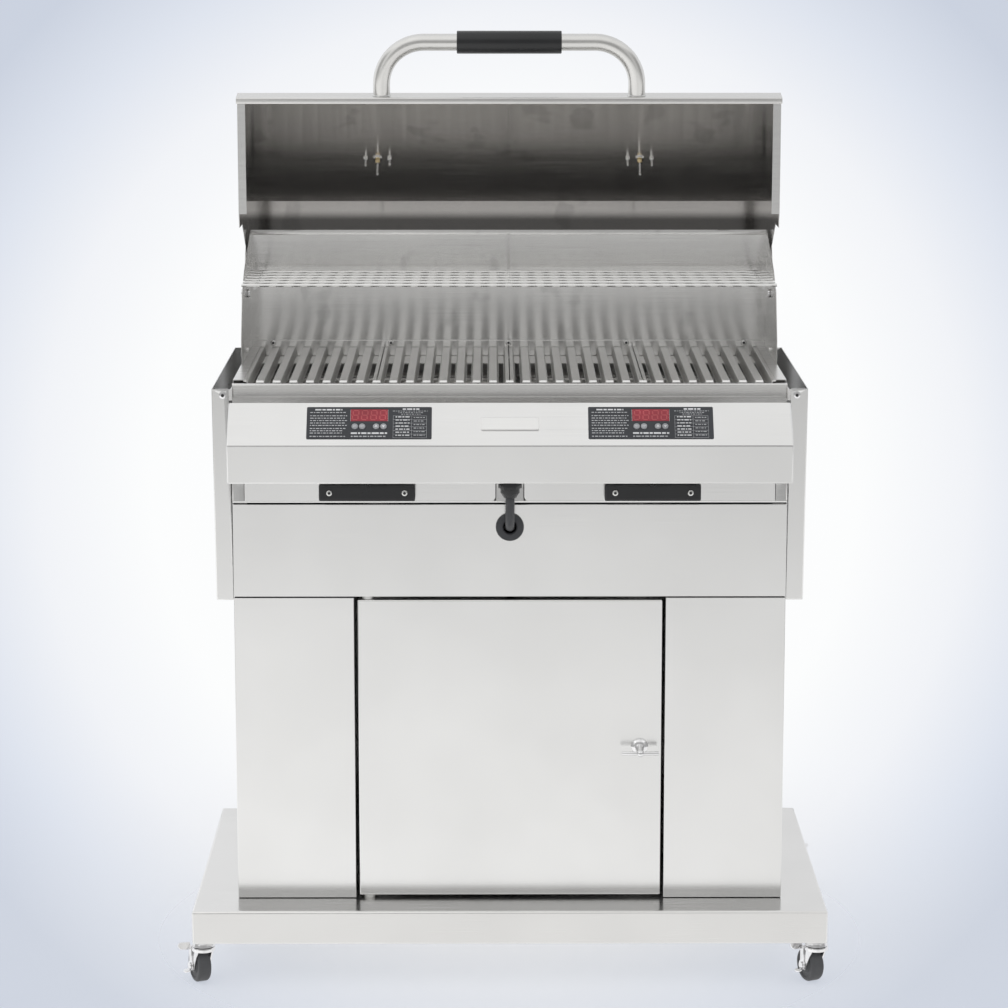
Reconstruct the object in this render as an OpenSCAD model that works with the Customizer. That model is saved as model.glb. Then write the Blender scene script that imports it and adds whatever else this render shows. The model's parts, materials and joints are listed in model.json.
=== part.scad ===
// Electric grill on a cabinet cart: a stainless grill head with a hinged lid, two drip trays and two
// drop-leaf shelves, on a cabinet with a pivoted door, on a base pan with four locking casters.
// Frame: origin on the floor at the middle of the base, +Z up, the front faces -Y. Millimetres.
// The lid is drawn raised and the shelves are drawn folded down.

/* [Base] */
// Width of the base pan
base_w = 935; // [880:1:1000]
// Depth of the base pan
base_d = 562; // [540:1:620]
// Height of the base pan's skirt
skirt_h = 50; // [40:1:80]
// Sheet thickness of the base pan
base_t = 1.5; // [1:0.1:3]
// Width of the flange turned in under the skirt
base_flange = 36; // [34:1:60]
// Radius of the bends along the top of the pan
base_bend = 4; // [2:0.5:8]

/* [Casters] */
// Height from the floor to the caster's mounting face
caster_h = 66; // [64:1:80]
// Swivel axis to the side edge of the base
caster_in_x = 14.5; // [13:0.5:25]
// Swivel axis to the front or rear edge of the base
caster_in_y = 17; // [14:0.5:25]
// Wheel diameter
wheel_d = 50; // [44:1:51]
// Wheel width
wheel_w = 20; // [16:1:24]
// Radius of the rounded tread edges
tread_r = 4; // [1:0.5:6]
// Distance that the axle trails the swivel axis
caster_trail = 16; // [12:1:18]
// Diameter of the fork's crown and of the raceway
crown_d = 34; // [32:1:40]
// Thickness of the fork's crown
crown_t = 6; // [4:0.5:8]
// Thickness of the fork's legs
fork_t = 2.2; // [1.5:0.1:3]
// Axle diameter
axle_d = 6; // [5:0.5:8]
// Swivel angle of the front casters as they stand
swivel = 25; // [0:1:40]
// Length of the brake lever above the axle
brake_up = 37; // [30:1:38]
// Reach of the brake lever's pedal beyond its arm
pedal_reach = 19; // [16:1:26]
// Width of the brake lever's pads
pad_w = 11; // [9:0.5:14]
// Lean of the brake lever's pedal towards the foot
pedal_lean = 50; // [0:5:60]

/* [Cabinet] */
// Width of the cabinet and of the firebox
cab_w = 808; // [780:1:840]
// Depth of the cabinet
cab_d = 430; // [400:1:450]
// Front edge of the base to the cabinet's front
front_step = 66; // [60:1:75]
// Height of the lower front panels
panel_h = 457; // [420:1:500]
// Seam between the lower panels and the apron
seam = 2; // [1:0.5:4]
// Height of the front apron
apron_h = 137; // [125:1:160]
// Sheet thickness of cabinet, lid and riser
sheet = 1.2; // [0.8:0.1:2]
// Width of the door opening
opening_w = 457; // [400:1:500]
// Gap around the door
door_gap = 5; // [4:0.5:6]
// Depth of the folded door edges
door_t = 18; // [15:1:22]
// Depth of the folded jambs
jamb_d = 25; // [22:1:32]
// Door pivot to the door's hinge edge
pivot_in = 15; // [10:1:17]
// Diameter of the door's pivot pins
door_pin_d = 8; // [6:0.5:10]

/* [Latch] */
// Latch spindle to the door's free edge
latch_in = 32; // [26:0.5:40]
// Height of the latch above the base
latch_z = 232; // [180:1:300]
// Diameter of the latch escutcheon
dome_d = 26; // [22:1:32]
// Diameter of the latch spindle
spindle_d = 9; // [7:0.5:11]
// Length of the T-handle's bar
tbar_w = 54.6; // [44:0.2:60]
// Stand-off of the T-handle's bar from the door
tbar_out = 30; // [20:1:40]
// Droop of the T-handle
tbar_droop = 6; // [0:1:10]
// Diameter of the T-handle's bar
tbar_d = 6; // [5:0.5:8]
// Diameter of the ball in the middle of the T-handle
tbar_ball = 11.5; // [10:0.5:14]
// Reach of the latch cam from the spindle
cam_reach = 44; // [42:1:50]

/* [Grill head] */
// Gap between the apron and the firebox
head_gap = 3; // [2:0.5:6]
// Height of the drip tray bay
bay_h = 39; // [36:1:50]
// Height of the grill head from its underside to the cooking surface
head_h = 175; // [172:1:200]
// Depth of the firebox
fire_d = 454; // [445:1:470]
// Sheet thickness of the firebox
fire_t = 1.5; // [1:0.1:2]
// Cabinet front to the front of the rail
rail_back = 20; // [15:1:28]
// Depth of the rail's top
rail_d = 9; // [6:0.5:12]
// Height of the rail's face
rail_h = 32; // [29:1:32]
// Drop of the front rail's top below the cooking surface
rail_down = 3.2; // [1:0.1:5]
// Width of the ledges that carry the grates
ledge_w = 11; // [8:0.5:16]

/* [Control box] */
// Reach of the fascia in front of the cabinet
fascia_reach = 66; // [58:1:66]
// Height of the fascia
fascia_h = 56; // [50:1:56]
// Horizontal run of the sloped control panel
slope_run = 48.5; // [42:0.5:52]
// Rise of the sloped control panel
slope_rise = 55; // [50:0.5:55]
// How far the control box stands out at each side of the firebox
box_over = 2.5; // [2:0.1:3]
// Distance of each overlay's centre from the middle
overlay_x = 202.5; // [150:0.5:260]
// Overlay width
overlay_w = 180; // [120:1:200]
// Overlay height along the slope
overlay_h = 54; // [48:1:60]
// Overlay thickness
overlay_t = 1; // [0.6:0.1:2]
// Display window width
display_w = 54; // [40:1:70]
// Display window height along the slope
display_h = 20.5; // [14:0.5:24]
// Display centre above the overlay's centre
display_up = 13; // [12:0.5:14]
// Button diameter
button_d = 9.2; // [7:0.1:10]
// Button centres below the overlay's centre
button_down = 6.5; // [5:0.5:12]
// Distance of the inner buttons from the overlay's centre line
button_x = 10; // [7:0.1:16]
// Pitch between two buttons of a pair
button_pitch = 10.6; // [10.6:0.1:14]
// How far a button stands proud
button_proud = 1.6; // [1.2:0.1:3]

/* [Drip trays] */
// Gap between the two tray fronts
tray_mid = 42; // [38:1:60]
// Tray front to the side of the firebox
tray_side = 18; // [14:1:30]
// Depth of the tray pans
tray_d = 385; // [340:1:400]
// Height of the tray pans
tray_h = 27; // [18:1:30]
// Sheet thickness of the trays
tray_t = 1; // [0.8:0.1:1.5]
// Tray handle length
pull_w = 139.5; // [100:0.5:180]
// Tray handle height
pull_h = 25; // [22:0.5:28]
// Tray handle depth
pull_d = 22; // [20:0.5:28]
// Width of the finger gap in the tray handle
pull_gap = 11; // [9:0.5:14]
// Shift of each tray pull from its tray's middle, outwards
pull_aside = 3.7; // [0:0.1:8]

/* [Cooking surface] */
// Cooking grates side by side
grate_count = 4; // [2:1:6]
// Bars on each grate
grate_bars = 8; // [5:1:9]
// Depth of the grates
grate_d = 361; // [340:1:365]
// Height of a grate's bars
grate_h = 16; // [12:0.5:18]
// Sheet thickness of the grates
grate_t = 2; // [1.5:0.1:2.5]
// Clear strip at each side of the grates
grate_side = 16; // [14:0.5:22]
// Length of the slots as laid from the front
slot_l = 270; // [150:1:300]
// Heating element rod diameter
rod_d = 8; // [6:0.5:10]
// Runs of each heating element, an odd number
rod_runs = 7; // [3:2:7]
// Pitch of the heating element's runs
rod_pitch = 48; // [40:1:48]
// Depth of the heating element below the cooking surface
rod_drop = 40; // [34:1:60]

/* [Riser] */
// Height of the riser above the cooking surface
riser_h = 183; // [176:1:184]
// Gap between the grates and the riser
riser_gap = 9; // [6:0.5:14]
// Reach of the side walls in front of the riser
wall_reach = 216; // [205:1:216]
// Height of the side walls' upright front edge
nose_h = 38; // [20:1:42]
// Height of the side walls' shoulder
shoulder_h = 104; // [98:1:112]
// Shoulder behind the front edge
shoulder_in = 27; // [20:1:40]
// Height of the side walls' brow
brow_h = 134; // [126:1:140]
// Brow behind the front edge
brow_in = 74; // [60:1:90]
// Height of the warming rack above the cooking surface
rack_h = 121; // [115:1:124]
// Warming rack rods
rack_rods = 6; // [4:1:8]
// Diameter of the warming rack rods
rack_d = 5; // [4:0.5:7]
// Pitch of the warming rack rods
rack_pitch = 35.5; // [28:0.5:38]
// Rack's rear rod in front of the riser
rack_back = 33; // [24:1:40]

/* [Lid] */
// Rail front to the lid pivot
pivot_back = 290; // [285:1:292]
// Lid pivot above the cooking surface
pivot_h = 94.6; // [93:0.2:97]
// Clearance between the closed lid and the cooking surface
lid_clear = 5; // [4:0.5:8]
// Overhang of the closed lid's lip in front of the rail
lip_over = 13.5; // [11:0.5:20]
// Height of the lid's front band
band_h = 35.5; // [30:0.5:45]
// Lean of the lid's front band
band_lean = 5.6; // [3:0.2:9]
// Rail front to the lid's upper fold, lid closed
fold_in = 164; // [158:1:170]
// Lid's upper fold above the cooking surface, lid closed
lid_h = 268; // [264:1:280]
// Overhang of the lid's tail behind the riser, lid closed
tail_over = 7; // [5:0.5:12]
// Lid's tail above the cooking surface, lid closed
tail_h = 204; // [202:1:212]
// Gap between the lid's end plates and the firebox
lid_gap = 0.8; // [0.6:0.1:1]
// Width of the rim turned in along the end plates
rim_w = 12; // [8:0.5:14]
// Width of the lip turned in along the front band
lip_w = 9; // [6:0.5:12]
// Overhang of the front band beyond the end plates
band_over = 1.6; // [0:0.1:3]
// Diameter of the pivot bolts of the lid
lid_bolt_d = 8; // [6:0.5:10]
// Handle tube diameter
handle_d = 25.4; // [20:0.2:28]
// Distance of each handle post from the middle
handle_x = 190.7; // [160:0.1:230]
// Stand-off of the handle tube from the lid
handle_off = 80; // [72:1:95]
// Bend radius of the handle tube
handle_bend = 63; // [45:1:70]
// Grip length
grip_w = 156; // [120:1:200]
// Grip diameter
grip_d = 34; // [30:0.5:40]
// Distance of each thermometer from the middle
gauge_x = 202.6; // [150:0.1:260]
// Thermometer dial diameter
gauge_d = 76; // [60:1:90]
// Thermometer dial thickness
gauge_t = 15; // [10:0.5:20]
// Length of the thermometer probes inside the lid
probe_l = 31; // [20:1:50]

/* [Side shelves] */
// Thickness of the shelves
shelf_t = 25; // [22:0.5:30]
// Height of the folded shelves
shelf_h = 313; // [280:1:340]
// Depth of the shelves from front to back
shelf_d = 447; // [430:1:447]
// Gap between the folded shelves and the firebox
shelf_gap = 4; // [4:0.5:7]
// Cabinet front to the front of the shelves
shelf_back = 9; // [5:0.5:12]
// Shelf pivot above the shelf's lower face
shelf_pin_in = 8.6; // [8.5:0.1:11]
// Shelf pivot below the top edge of the folded shelf
shelf_pin_down = 9.2; // [8.5:0.1:10]
// Cooking surface to the top edge of the folded shelves
shelf_drop = 9; // [8:0.5:14]
// Lean of the folded shelves against the cabinet, degrees
shelf_lean = 0.5; // [0:0.1:0.6]
// Diameter of the shelves' pivot bolts
shelf_bolt_d = 6; // [5:0.5:8]

/* [Power cord] */
// Cord diameter
cord_d = 13; // [10:0.5:13]
// Radius at which the coil starts
coil_r = 57; // [56:1:66]
// Turns in the coil
coil_turns = 2; // [1:1:3]
// Pitch between the coil's turns
coil_pitch = 22; // [21:0.5:24]
// Grommet outer diameter
grommet_d = 41; // [34:0.5:50]
// Grommet centre above the apron's lower edge
grommet_up = 104; // [90:1:110]
// Gland width across its flats
gland_w = 30; // [24:0.5:32]

/* [Hidden] */

$fn = 64;
// Radial clearance of a turning fit
run_fit = 0.05;
// Clearance between pieces that pass each other
slip = 0.3;
// Overshoot of a cut through a face
past = 1;
// Gap left under a piece seated on a slanted face
seat = 0.05;

// Heights above the floor
base_top = caster_h + skirt_h;
panel_top = base_top + panel_h;
apron_z = panel_top + seam;
apron_top = apron_z + apron_h;
head_z = apron_top + head_gap;
box_z = head_z + bay_h;
fascia_top = box_z + fascia_h;
slope_top = fascia_top + slope_rise;
deck_z = head_z + head_h;
ledge_z = deck_z - grate_h;
rail_foot = deck_z - rail_h;
riser_top = deck_z + riser_h;

// Depths, the front is negative
front_y = front_step - base_d / 2;
cab_back = front_y + cab_d;
fascia_y = front_y - fascia_reach;
rail_y = front_y + rail_back;
rail_rear = rail_y + rail_d;
wall_y = rail_rear + 2;
grate_y = rail_rear + 1;
riser_y = grate_y + grate_d + riser_gap;
fire_back = front_y + fire_d;
lid_y = rail_y + pivot_back;
lid_z = deck_z + pivot_h;

// Half widths
cab_x = cab_w / 2;
fire_in = cab_x - fire_t;
riser_x = fire_in - slip;
lid_in = cab_x + lid_gap;
lid_x = lid_in + sheet;
box_x = cab_x + box_over;

// Small values shared by several pieces
return_w = 20;
bolt_head_t = 4;

// Unit vector
function unit(v) = v / norm(v);
// Points along an arc in a plane
function arc(c, r, a0, a1, steps) =
    [for (i = [0:steps]) let (a = a0 + (a1 - a0) * i / steps) c + r * [cos(a), sin(a)]];
// Normal to the right of a path's segment from point i
function right_of(path, i) = let (d = unit(path[i + 1] - path[i])) [d[1], -d[0]];
// Step from point i of a path to its parallel path at distance t to the right
function step_in(path, i, t) =
    i == 0 ? t * right_of(path, 0)
    : i == len(path) - 1 ? t * right_of(path, i - 1)
    : let (a = right_of(path, i - 1), b = right_of(path, i)) t * (a + b) / (1 + a * b);
function parallel(path, t) = [for (i = [0:len(path) - 1]) path[i] + step_in(path, i, t)];
function reversed(list) = [for (i = [len(list) - 1:-1:0]) list[i]];
// Closed outline of a folded sheet whose outer face follows a path
function folded(path, t) = concat(path, reversed(parallel(path, t)));

// Tangents of a route in space
function tangents(p) =
    [for (i = [0:len(p) - 1]) unit(p[min(i + 1, len(p) - 1)] - p[max(i - 1, 0)])];
// Normals carried along a route without twist
function carried(ts, start) =
    [for (i = 0, n = start; i < len(ts);
          i = i + 1, n = unit(n - (n * ts[min(i, len(ts) - 1)]) * ts[min(i, len(ts) - 1)])) n];
function route_length(p) = len(p) < 2 ? 0 : lengths_to(p, len(p) - 1);
function lengths_to(p, i) = i == 0 ? 0 : norm(p[i] - p[i - 1]) + lengths_to(p, i - 1);
// Position of x over a run that eases in and out, from 0 to 1
function eased(x) = let (s = max(0, min(1, x))) s * s * (3 - 2 * s);

// Round tube along a route
module tube(route, d, sides, start) {
    ts = tangents(route);
    ns = carried(ts, start);
    last = len(route) - 1;
    points = [for (i = [0:last], j = [0:sides - 1])
        let (a = 360 * j / sides) route[i] + d / 2 * (cos(a) * ns[i] + sin(a) * cross(ts[i], ns[i]))];
    walls = [for (i = [0:last - 1], j = [0:sides - 1], half = [0, 1])
        let (a = i * sides + j, b = i * sides + (j + 1) % sides)
        half == 0 ? [a, a + sides, b] : [b, a + sides, b + sides]];
    caps = concat([for (j = [1:sides - 2]) [0, j, j + 1]],
                  [for (j = [1:sides - 2]) [last * sides, last * sides + j + 1, last * sides + j]]);
    polyhedron(points, concat(walls, caps), convexity = 8);
}
// Block between two corners
module block(a, b) { translate(a) cube(b - a); }
// Y-Z outline extruded across the part from x0 to x1
module across(x0, x1) { translate([x0, 0, 0]) rotate([90, 0, 90]) linear_extrude(x1 - x0) children(); }
// Rod along X, Y or Z from a point
module rod_x(from, l, d) { translate(from) rotate([0, 90, 0]) cylinder(h = l, d = d); }
module rod_y(from, l, d) { translate(from) rotate([-90, 0, 0]) cylinder(h = l, d = d); }
module rod_z(from, l, d) { translate(from) cylinder(h = l, d = d); }
// A piece and its mirror image at the other side
module both_sides() { children(); mirror([1, 0, 0]) children(); }

// Casters

axle_z = wheel_d / 2;
crown_z = wheel_d + 2;
crown_top = crown_z + crown_t;
race_gap = 1.2;
kingpin_d = 8;
kingpin_head_d = 12;
kingpin_head_t = 2;
stem_d = 10;
stem_l = 16;
nut_d = 18;
nut_t = 8;
leg_x = wheel_w / 2 + 0.6;
boss_d = 17;
brake_t = 2;
brake_x = leg_x + fork_t + slip;
axle_end = brake_x + brake_t + slip;
axle_head_t = 1.8;
axle_head_d = axle_d + 4;
caster_x = base_w / 2 - caster_in_x;
caster_y = base_d / 2 - caster_in_y;
// Front left, front right, rear left, rear right, as [x side, y side, turn]
CORNERS = [[-1, -1, swivel], [1, -1, swivel], [-1, 1, swivel + 180], [1, 1, swivel + 180]];

module at_corner(k) {
    corner = CORNERS[k];
    translate([corner[0] * caster_x, corner[1] * caster_y, 0]) rotate([0, 0, corner[2]]) children();
}
module caster_mount() {
    race_z = crown_top + race_gap;
    translate([0, 0, race_z]) cylinder(h = caster_h - race_z, d1 = crown_d, d2 = crown_d - 5);
    rod_z([0, 0, crown_z - slip], race_z - crown_z + slip, kingpin_d);
    rod_z([0, 0, crown_z - slip - kingpin_head_t], kingpin_head_t, kingpin_head_d);
    rod_z([0, 0, caster_h], stem_l, stem_d);
    translate([0, 0, caster_h + base_t]) cylinder(h = nut_t, d = nut_d, $fn = 6);
}
module fork() {
    difference() {
        union() {
            rod_z([0, 0, crown_z], crown_t, crown_d);
            for (x = [-leg_x - fork_t, leg_x]) across(x, x + fork_t) leg_outline();
        }
        rod_z([0, 0, crown_z - past], crown_t + 2 * past, kingpin_d + 2 * run_fit);
    }
    rod_x([-axle_end, caster_trail, axle_z], axle_end + leg_x + fork_t, axle_d);
    rod_x([leg_x + fork_t, caster_trail, axle_z], axle_head_t, axle_head_d);
    rod_x([-axle_end - axle_head_t, caster_trail, axle_z], axle_head_t, axle_head_d);
}
module leg_outline() {
    top = crown_d / 3;
    translate([caster_trail, axle_z]) circle(d = boss_d);
    polygon([[-top, crown_top], [top, crown_top], [caster_trail + boss_d / 2, axle_z],
             [caster_trail - boss_d / 2, axle_z]]);
}
module wheel() {
    r = wheel_d / 2;
    bore = axle_d / 2 + run_fit;
    half = wheel_w / 2;
    translate([0, caster_trail, axle_z]) rotate([0, 90, 0]) rotate_extrude($fn = 96)
        polygon(concat([[bore, -half], [r * 0.45, -half], [r * 0.5, -half + 1.5], [r * 0.72, -half + 1.5],
                        [r * 0.78, -half]],
                       arc([r - tread_r, -half + tread_r], tread_r, -90, 0, 6),
                       arc([r - tread_r, half - tread_r], tread_r, 0, 90, 6),
                       [[r * 0.78, half], [r * 0.72, half - 1.5], [r * 0.5, half - 1.5], [r * 0.45, half],
                        [bore, half]]));
}
// Plate reaching along -X to a round end
module pad(reach) {
    linear_extrude(brake_t) {
        translate([pad_w / 2 - reach, 0]) circle(d = pad_w);
        translate([pad_w / 2 - reach, -pad_w / 2]) square([reach - pad_w / 2, pad_w]);
    }
}
module brake() {
    arm_w = 9;
    pedal_z = axle_z + brake_up - 6;
    pedal_tilt = 5;
    root = brake_x + brake_t - 0.5;
    foot_down = 7.5;
    foot_reach = pad_w;
    difference() {
        union() {
            across(-brake_x - brake_t, -brake_x) {
                translate([caster_trail, axle_z]) circle(d = boss_d - 1);
                translate([caster_trail - arm_w / 2, axle_z - foot_down])
                    square([arm_w, foot_down + pedal_z - axle_z]);
            }
            translate([-root, caster_trail, pedal_z]) rotate([pedal_lean, pedal_tilt, 0])
                translate([0, 0, -brake_t]) pad(pedal_reach);
            translate([-root, caster_trail, axle_z - foot_down]) rotate([0, -pedal_tilt, 0])
                pad(foot_reach);
        }
        rod_x([-brake_x - brake_t - past, caster_trail, axle_z], brake_t + 2 * past, axle_d + 2 * run_fit);
    }
}
module caster_mounts() { color("silver") for (k = [0:3]) at_corner(k) caster_mount(); }
module caster_fork(k) { color("lightgray") at_corner(k) fork(); }
module caster_wheel(k) { color("dimgray") at_corner(k) wheel(); }
module caster_brake(k) { color("silver") at_corner(k) brake(); }

// Base pan

pin_x = -opening_w / 2 + door_gap + pivot_in;
pin_y = front_y + 10;
bush_d = door_pin_d + 3;

// Rounded top of a plate seen from its end
function pan_outline(w) = concat([[w / 2, caster_h]],
    arc([w / 2 - base_bend, base_top - base_bend], base_bend, 0, 90, 5),
    arc([base_bend - w / 2, base_top - base_bend], base_bend, 90, 180, 5), [[-w / 2, caster_h]]);
module base_pan() {
    in_x = base_w / 2 - base_t;
    in_y = base_d / 2 - base_t;
    hole_x = base_w / 2 - base_flange;
    hole_y = base_d / 2 - base_flange;
    color("gainsboro") difference() {
        intersection() {
            across(-base_w / 2, base_w / 2) polygon(pan_outline(base_d));
            translate([0, base_d / 2, 0]) rotate([90, 0, 0])
                linear_extrude(base_d) polygon(pan_outline(base_w));
        }
        block([-in_x, -in_y, caster_h + base_t], [in_x, in_y, base_top - base_t]);
        block([-hole_x, -hole_y, caster_h - past], [hole_x, hole_y, caster_h + base_t + past]);
        for (k = [0:3]) at_corner(k) rod_z([0, 0, caster_h - past], base_t + 2 * past, stem_d + 2 * slip);
        rod_z([pin_x, pin_y, base_top - base_t - past], base_t + 2 * past, bush_d + slip);
    }
}

// Cabinet

jamb_x = opening_w / 2;
module cabinet_side() {
    // Front panel with its jamb and top return
    block([jamb_x, front_y, base_top], [cab_x, front_y + sheet, panel_top]);
    block([jamb_x, front_y, base_top], [jamb_x + sheet, front_y + jamb_d, panel_top]);
    block([jamb_x, front_y, panel_top - sheet], [cab_x, front_y + return_w, panel_top]);
    // Side wall with its foot and its top flange under the firebox
    block([cab_x - sheet, front_y, base_top], [cab_x, cab_back, panel_top]);
    block([cab_x - sheet, front_y + sheet, panel_top - past], [cab_x, cab_back, head_z]);
    block([cab_x - return_w, front_y + return_w, base_top], [cab_x, cab_back - return_w, base_top + sheet]);
    block([cab_x - return_w, front_y + return_w, head_z - sheet], [cab_x, cab_back - return_w, head_z]);
}
module cabinet_left() { color("gainsboro") mirror([1, 0, 0]) cabinet_side(); }
module cabinet_right() { color("gainsboro") cabinet_side(); }
module cabinet_back() {
    color("silver") block([sheet - cab_x, cab_back - sheet, base_top], [cab_x - sheet, cab_back, apron_top]);
}
grommet_z = apron_z + grommet_up;
grommet_lip = 5;
grommet_neck = grommet_d - 8;
module front_apron() {
    in_x = cab_x - sheet;
    color("gainsboro") difference() {
        union() {
            block([-cab_x, front_y, apron_z], [cab_x, front_y + sheet, apron_top]);
            block([-in_x, front_y, apron_z], [in_x, pin_y + return_w, apron_z + sheet]);
            block([-in_x, front_y, apron_top - sheet], [in_x, front_y + return_w, apron_top]);
        }
        rod_y([0, front_y - past, grommet_z], sheet + 2 * past, grommet_neck + slip);
        rod_z([pin_x, pin_y, apron_z - past], sheet + 2 * past, bush_d + slip);
    }
}

// Door and latch

door_x = opening_w / 2 - door_gap;
door_z0 = base_top + door_gap;
door_z1 = panel_top + seam - door_gap;
latch_x = door_x - latch_in;
latch_at = base_top + latch_z;
module cabinet_door() {
    color("gainsboro") difference() {
        block([-door_x, front_y, door_z0], [door_x, front_y + door_t, door_z1]);
        block([sheet - door_x, front_y + sheet, door_z0 + sheet],
              [door_x - sheet, front_y + door_t + past, door_z1 - sheet]);
        rod_z([pin_x, pin_y, door_z0 - past], door_z1 - door_z0 + 2 * past, door_pin_d + slip);
        rod_y([latch_x, front_y - past, latch_at], sheet + 2 * past, spindle_d + slip);
    }
}
pin_dip = 5;
module door_pins() {
    head_d = door_pin_d + 6;
    color("silver") {
        rod_z([pin_x, pin_y, base_top - pin_dip], door_gap + sheet + pin_dip, door_pin_d);
        rod_z([pin_x, pin_y, door_z0 + sheet], bolt_head_t, head_d);
        rod_z([pin_x, pin_y, door_z1 - sheet], door_gap + sheet + pin_dip, door_pin_d);
        rod_z([pin_x, pin_y, door_z1 - sheet - bolt_head_t], bolt_head_t, head_d);
    }
}
// Collar in the door gap and sleeve through the sheet beyond it
module bush() {
    collar_t = door_gap - slip;
    sleeve_l = pin_dip + 1;
    difference() {
        union() {
            rod_z([0, 0, 0], collar_t, bush_d + 5);
            rod_z([0, 0, -sleeve_l], sleeve_l + past, bush_d);
        }
        rod_z([0, 0, -sleeve_l - past], sleeve_l + collar_t + 2 * past, door_pin_d + 2 * run_fit);
    }
}
module door_bushes() {
    color("white") {
        translate([pin_x, pin_y, base_top]) bush();
        translate([pin_x, pin_y, apron_z]) mirror([0, 0, 1]) bush();
    }
}
dome_t = 6;
cam_y = front_y + jamb_d + 2;
module latch_escutcheon() {
    r = dome_d / 2;
    bore = spindle_d / 2 + run_fit;
    color("silver") translate([latch_x, front_y, latch_at]) rotate([90, 0, 0]) rotate_extrude()
        polygon([[bore, 0], [r, 0], [r, dome_t * 0.25], [r * 0.9, dome_t * 0.55], [r * 0.7, dome_t * 0.85],
                 [bore + 2, dome_t], [bore, dome_t]]);
}
module latch_handle() {
    neck_y = front_y - dome_t - slip;
    neck_l = tbar_out - dome_t - slip;
    color("silver") translate([latch_x, neck_y, latch_at]) {
        rod_y([0, -2, 0], cam_y - neck_y + 2, spindle_d);
        rotate([tbar_droop, 0, 0]) {
            translate([0, -0.8, 0]) rotate([90, 0, 0])
                cylinder(h = neck_l - 0.8, d1 = spindle_d + 5, d2 = spindle_d - 1);
            translate([0, -neck_l, 0]) rotate([0, 0, -60]) sphere(d = tbar_ball);
            rod_x([-tbar_w / 2, -neck_l, 0], tbar_w, tbar_d);
        }
    }
}
module latch_cam() {
    cam_w = 16;
    cam_t = 3;
    color("gray") translate([latch_x, cam_y, latch_at]) {
        rod_y([0, 0, 0], cam_t, cam_w);
        block([-cam_w / 2, 0, -cam_reach], [cam_w / 2, cam_t, 0]);
    }
}

// Power cord

gland_y = fascia_y + 17;
gland_l = 23;
module cord_grommet() {
    r = grommet_d / 2;
    neck = grommet_neck / 2;
    hole = cord_d / 2 + 3;
    back = -sheet - slip;
    color("dimgray") translate([0, front_y, grommet_z]) rotate([90, 0, 0]) rotate_extrude()
        polygon(concat([[hole, back - 4], [r - 1, back - 4], [r - 1, back], [neck, back], [neck, 0], [r, 0]],
                       arc([r - 2, grommet_lip - 2], 2, 0, 90, 4), [[hole + 1.5, grommet_lip],
                       [hole, grommet_lip - 1.5]]));
}
module cord_gland() {
    hex_l = 9;
    color("dimgray") translate([0, gland_y, box_z]) mirror([0, 0, 1]) {
        cylinder(h = hex_l, d = gland_w / cos(30), $fn = 6);
        translate([0, 0, hex_l]) cylinder(h = 7, d = gland_w - 2);
        translate([0, 0, hex_l + 7]) cylinder(h = gland_l - hex_l - 7, d1 = gland_w - 4, d2 = cord_d + 5);
    }
}
// Route from the gland through the grommet and down inside the cabinet to the coil
CORD_ROUTE = [
    [0, -264, 731], [0, -264, 727], [0, -262, 718], [0, -257, 705], [0, -249, 694], [0, -238, 686],
    [0, -225, 681], [0, -212, 679], [0, -196, 678], [0, -176, 674], [0, -152, 663], [0, -127, 642],
    [0, -107, 610], [0, -98, 571],
    [0, -98, 530], [0, -98, 490], [0, -98, 450], [0, -98, 410], [0, -98, 370], [0, -98, 330],
    [0, -98, 290], [0, -98, 250], [0, -98, 210], [0, -98, 174], [0, -94, 154.5], [0, -83, 138],
    [0, -66, 126.5], [0, -54, 123], [0, -48, 122.5], [0, -44, 122.5]];
cord_end = CORD_ROUTE[len(CORD_ROUTE) - 1];
coil_lead_in = 4;
coil_c = [cord_end[0] - coil_r, cord_end[1] + coil_lead_in];
coil_steps = 24;
coil_lead = 35;
plug_rise = 7.5;
// Spiral on the cabinet floor, rising at its end to the plug
COIL_ROUTE = concat(
    [cord_end],
    [for (i = [0:coil_steps * coil_turns])
        let (turn = i / coil_steps, r = coil_r + coil_pitch * turn,
             lift = plug_rise * eased((turn - coil_turns) * 4 + 1))
        [coil_c[0] + r * cos(360 * turn), coil_c[1] + r * sin(360 * turn), cord_end[2] + lift]],
    [[coil_c[0] + coil_r + coil_pitch * coil_turns, coil_c[1] + coil_lead, cord_end[2] + plug_rise]]);
plug_at = COIL_ROUTE[len(COIL_ROUTE) - 1];
module power_cord() { color("dimgray") tube(CORD_ROUTE, cord_d, 10, [1, 0, 0]); }
module cord_coil() { color("dimgray") tube(COIL_ROUTE, cord_d, 6, [0, 0, 1]); }
module power_plug() {
    relief_l = 25;
    body = [32, 40, 24];
    blade = [6.4, 18, 1.6];
    blade_x = 6.35;
    blade_up = 3;
    color("dimgray") translate(plug_at) {
        rotate([-90, 0, 0]) cylinder(h = relief_l, d1 = cord_d + 1, d2 = 20);
        translate([-body[0] / 2, relief_l, 0]) rotate([-90, 0, 0]) linear_extrude(body[1])
            translate([body[0] / 2, 0]) rounded_rect(body[0], body[2] - 1, 6);
        for (x = [-blade_x, blade_x])
            translate([x - blade[2] / 2, relief_l + body[1], blade_up - blade[0] / 2])
                cube([blade[2], blade[1], blade[0]]);
        rod_y([0, relief_l + body[1], -6], blade[1] + 3, 4.8);
    }
}
// Rectangle with round corners about the origin
module rounded_rect(w, h, r) {
    square([w - 2 * r, h], center = true);
    square([w, h - 2 * r], center = true);
    for (x = [r - w / 2, w / 2 - r], y = [r - h / 2, h / 2 - r]) translate([x, y]) circle(r = r, $fn = 32);
}
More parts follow.
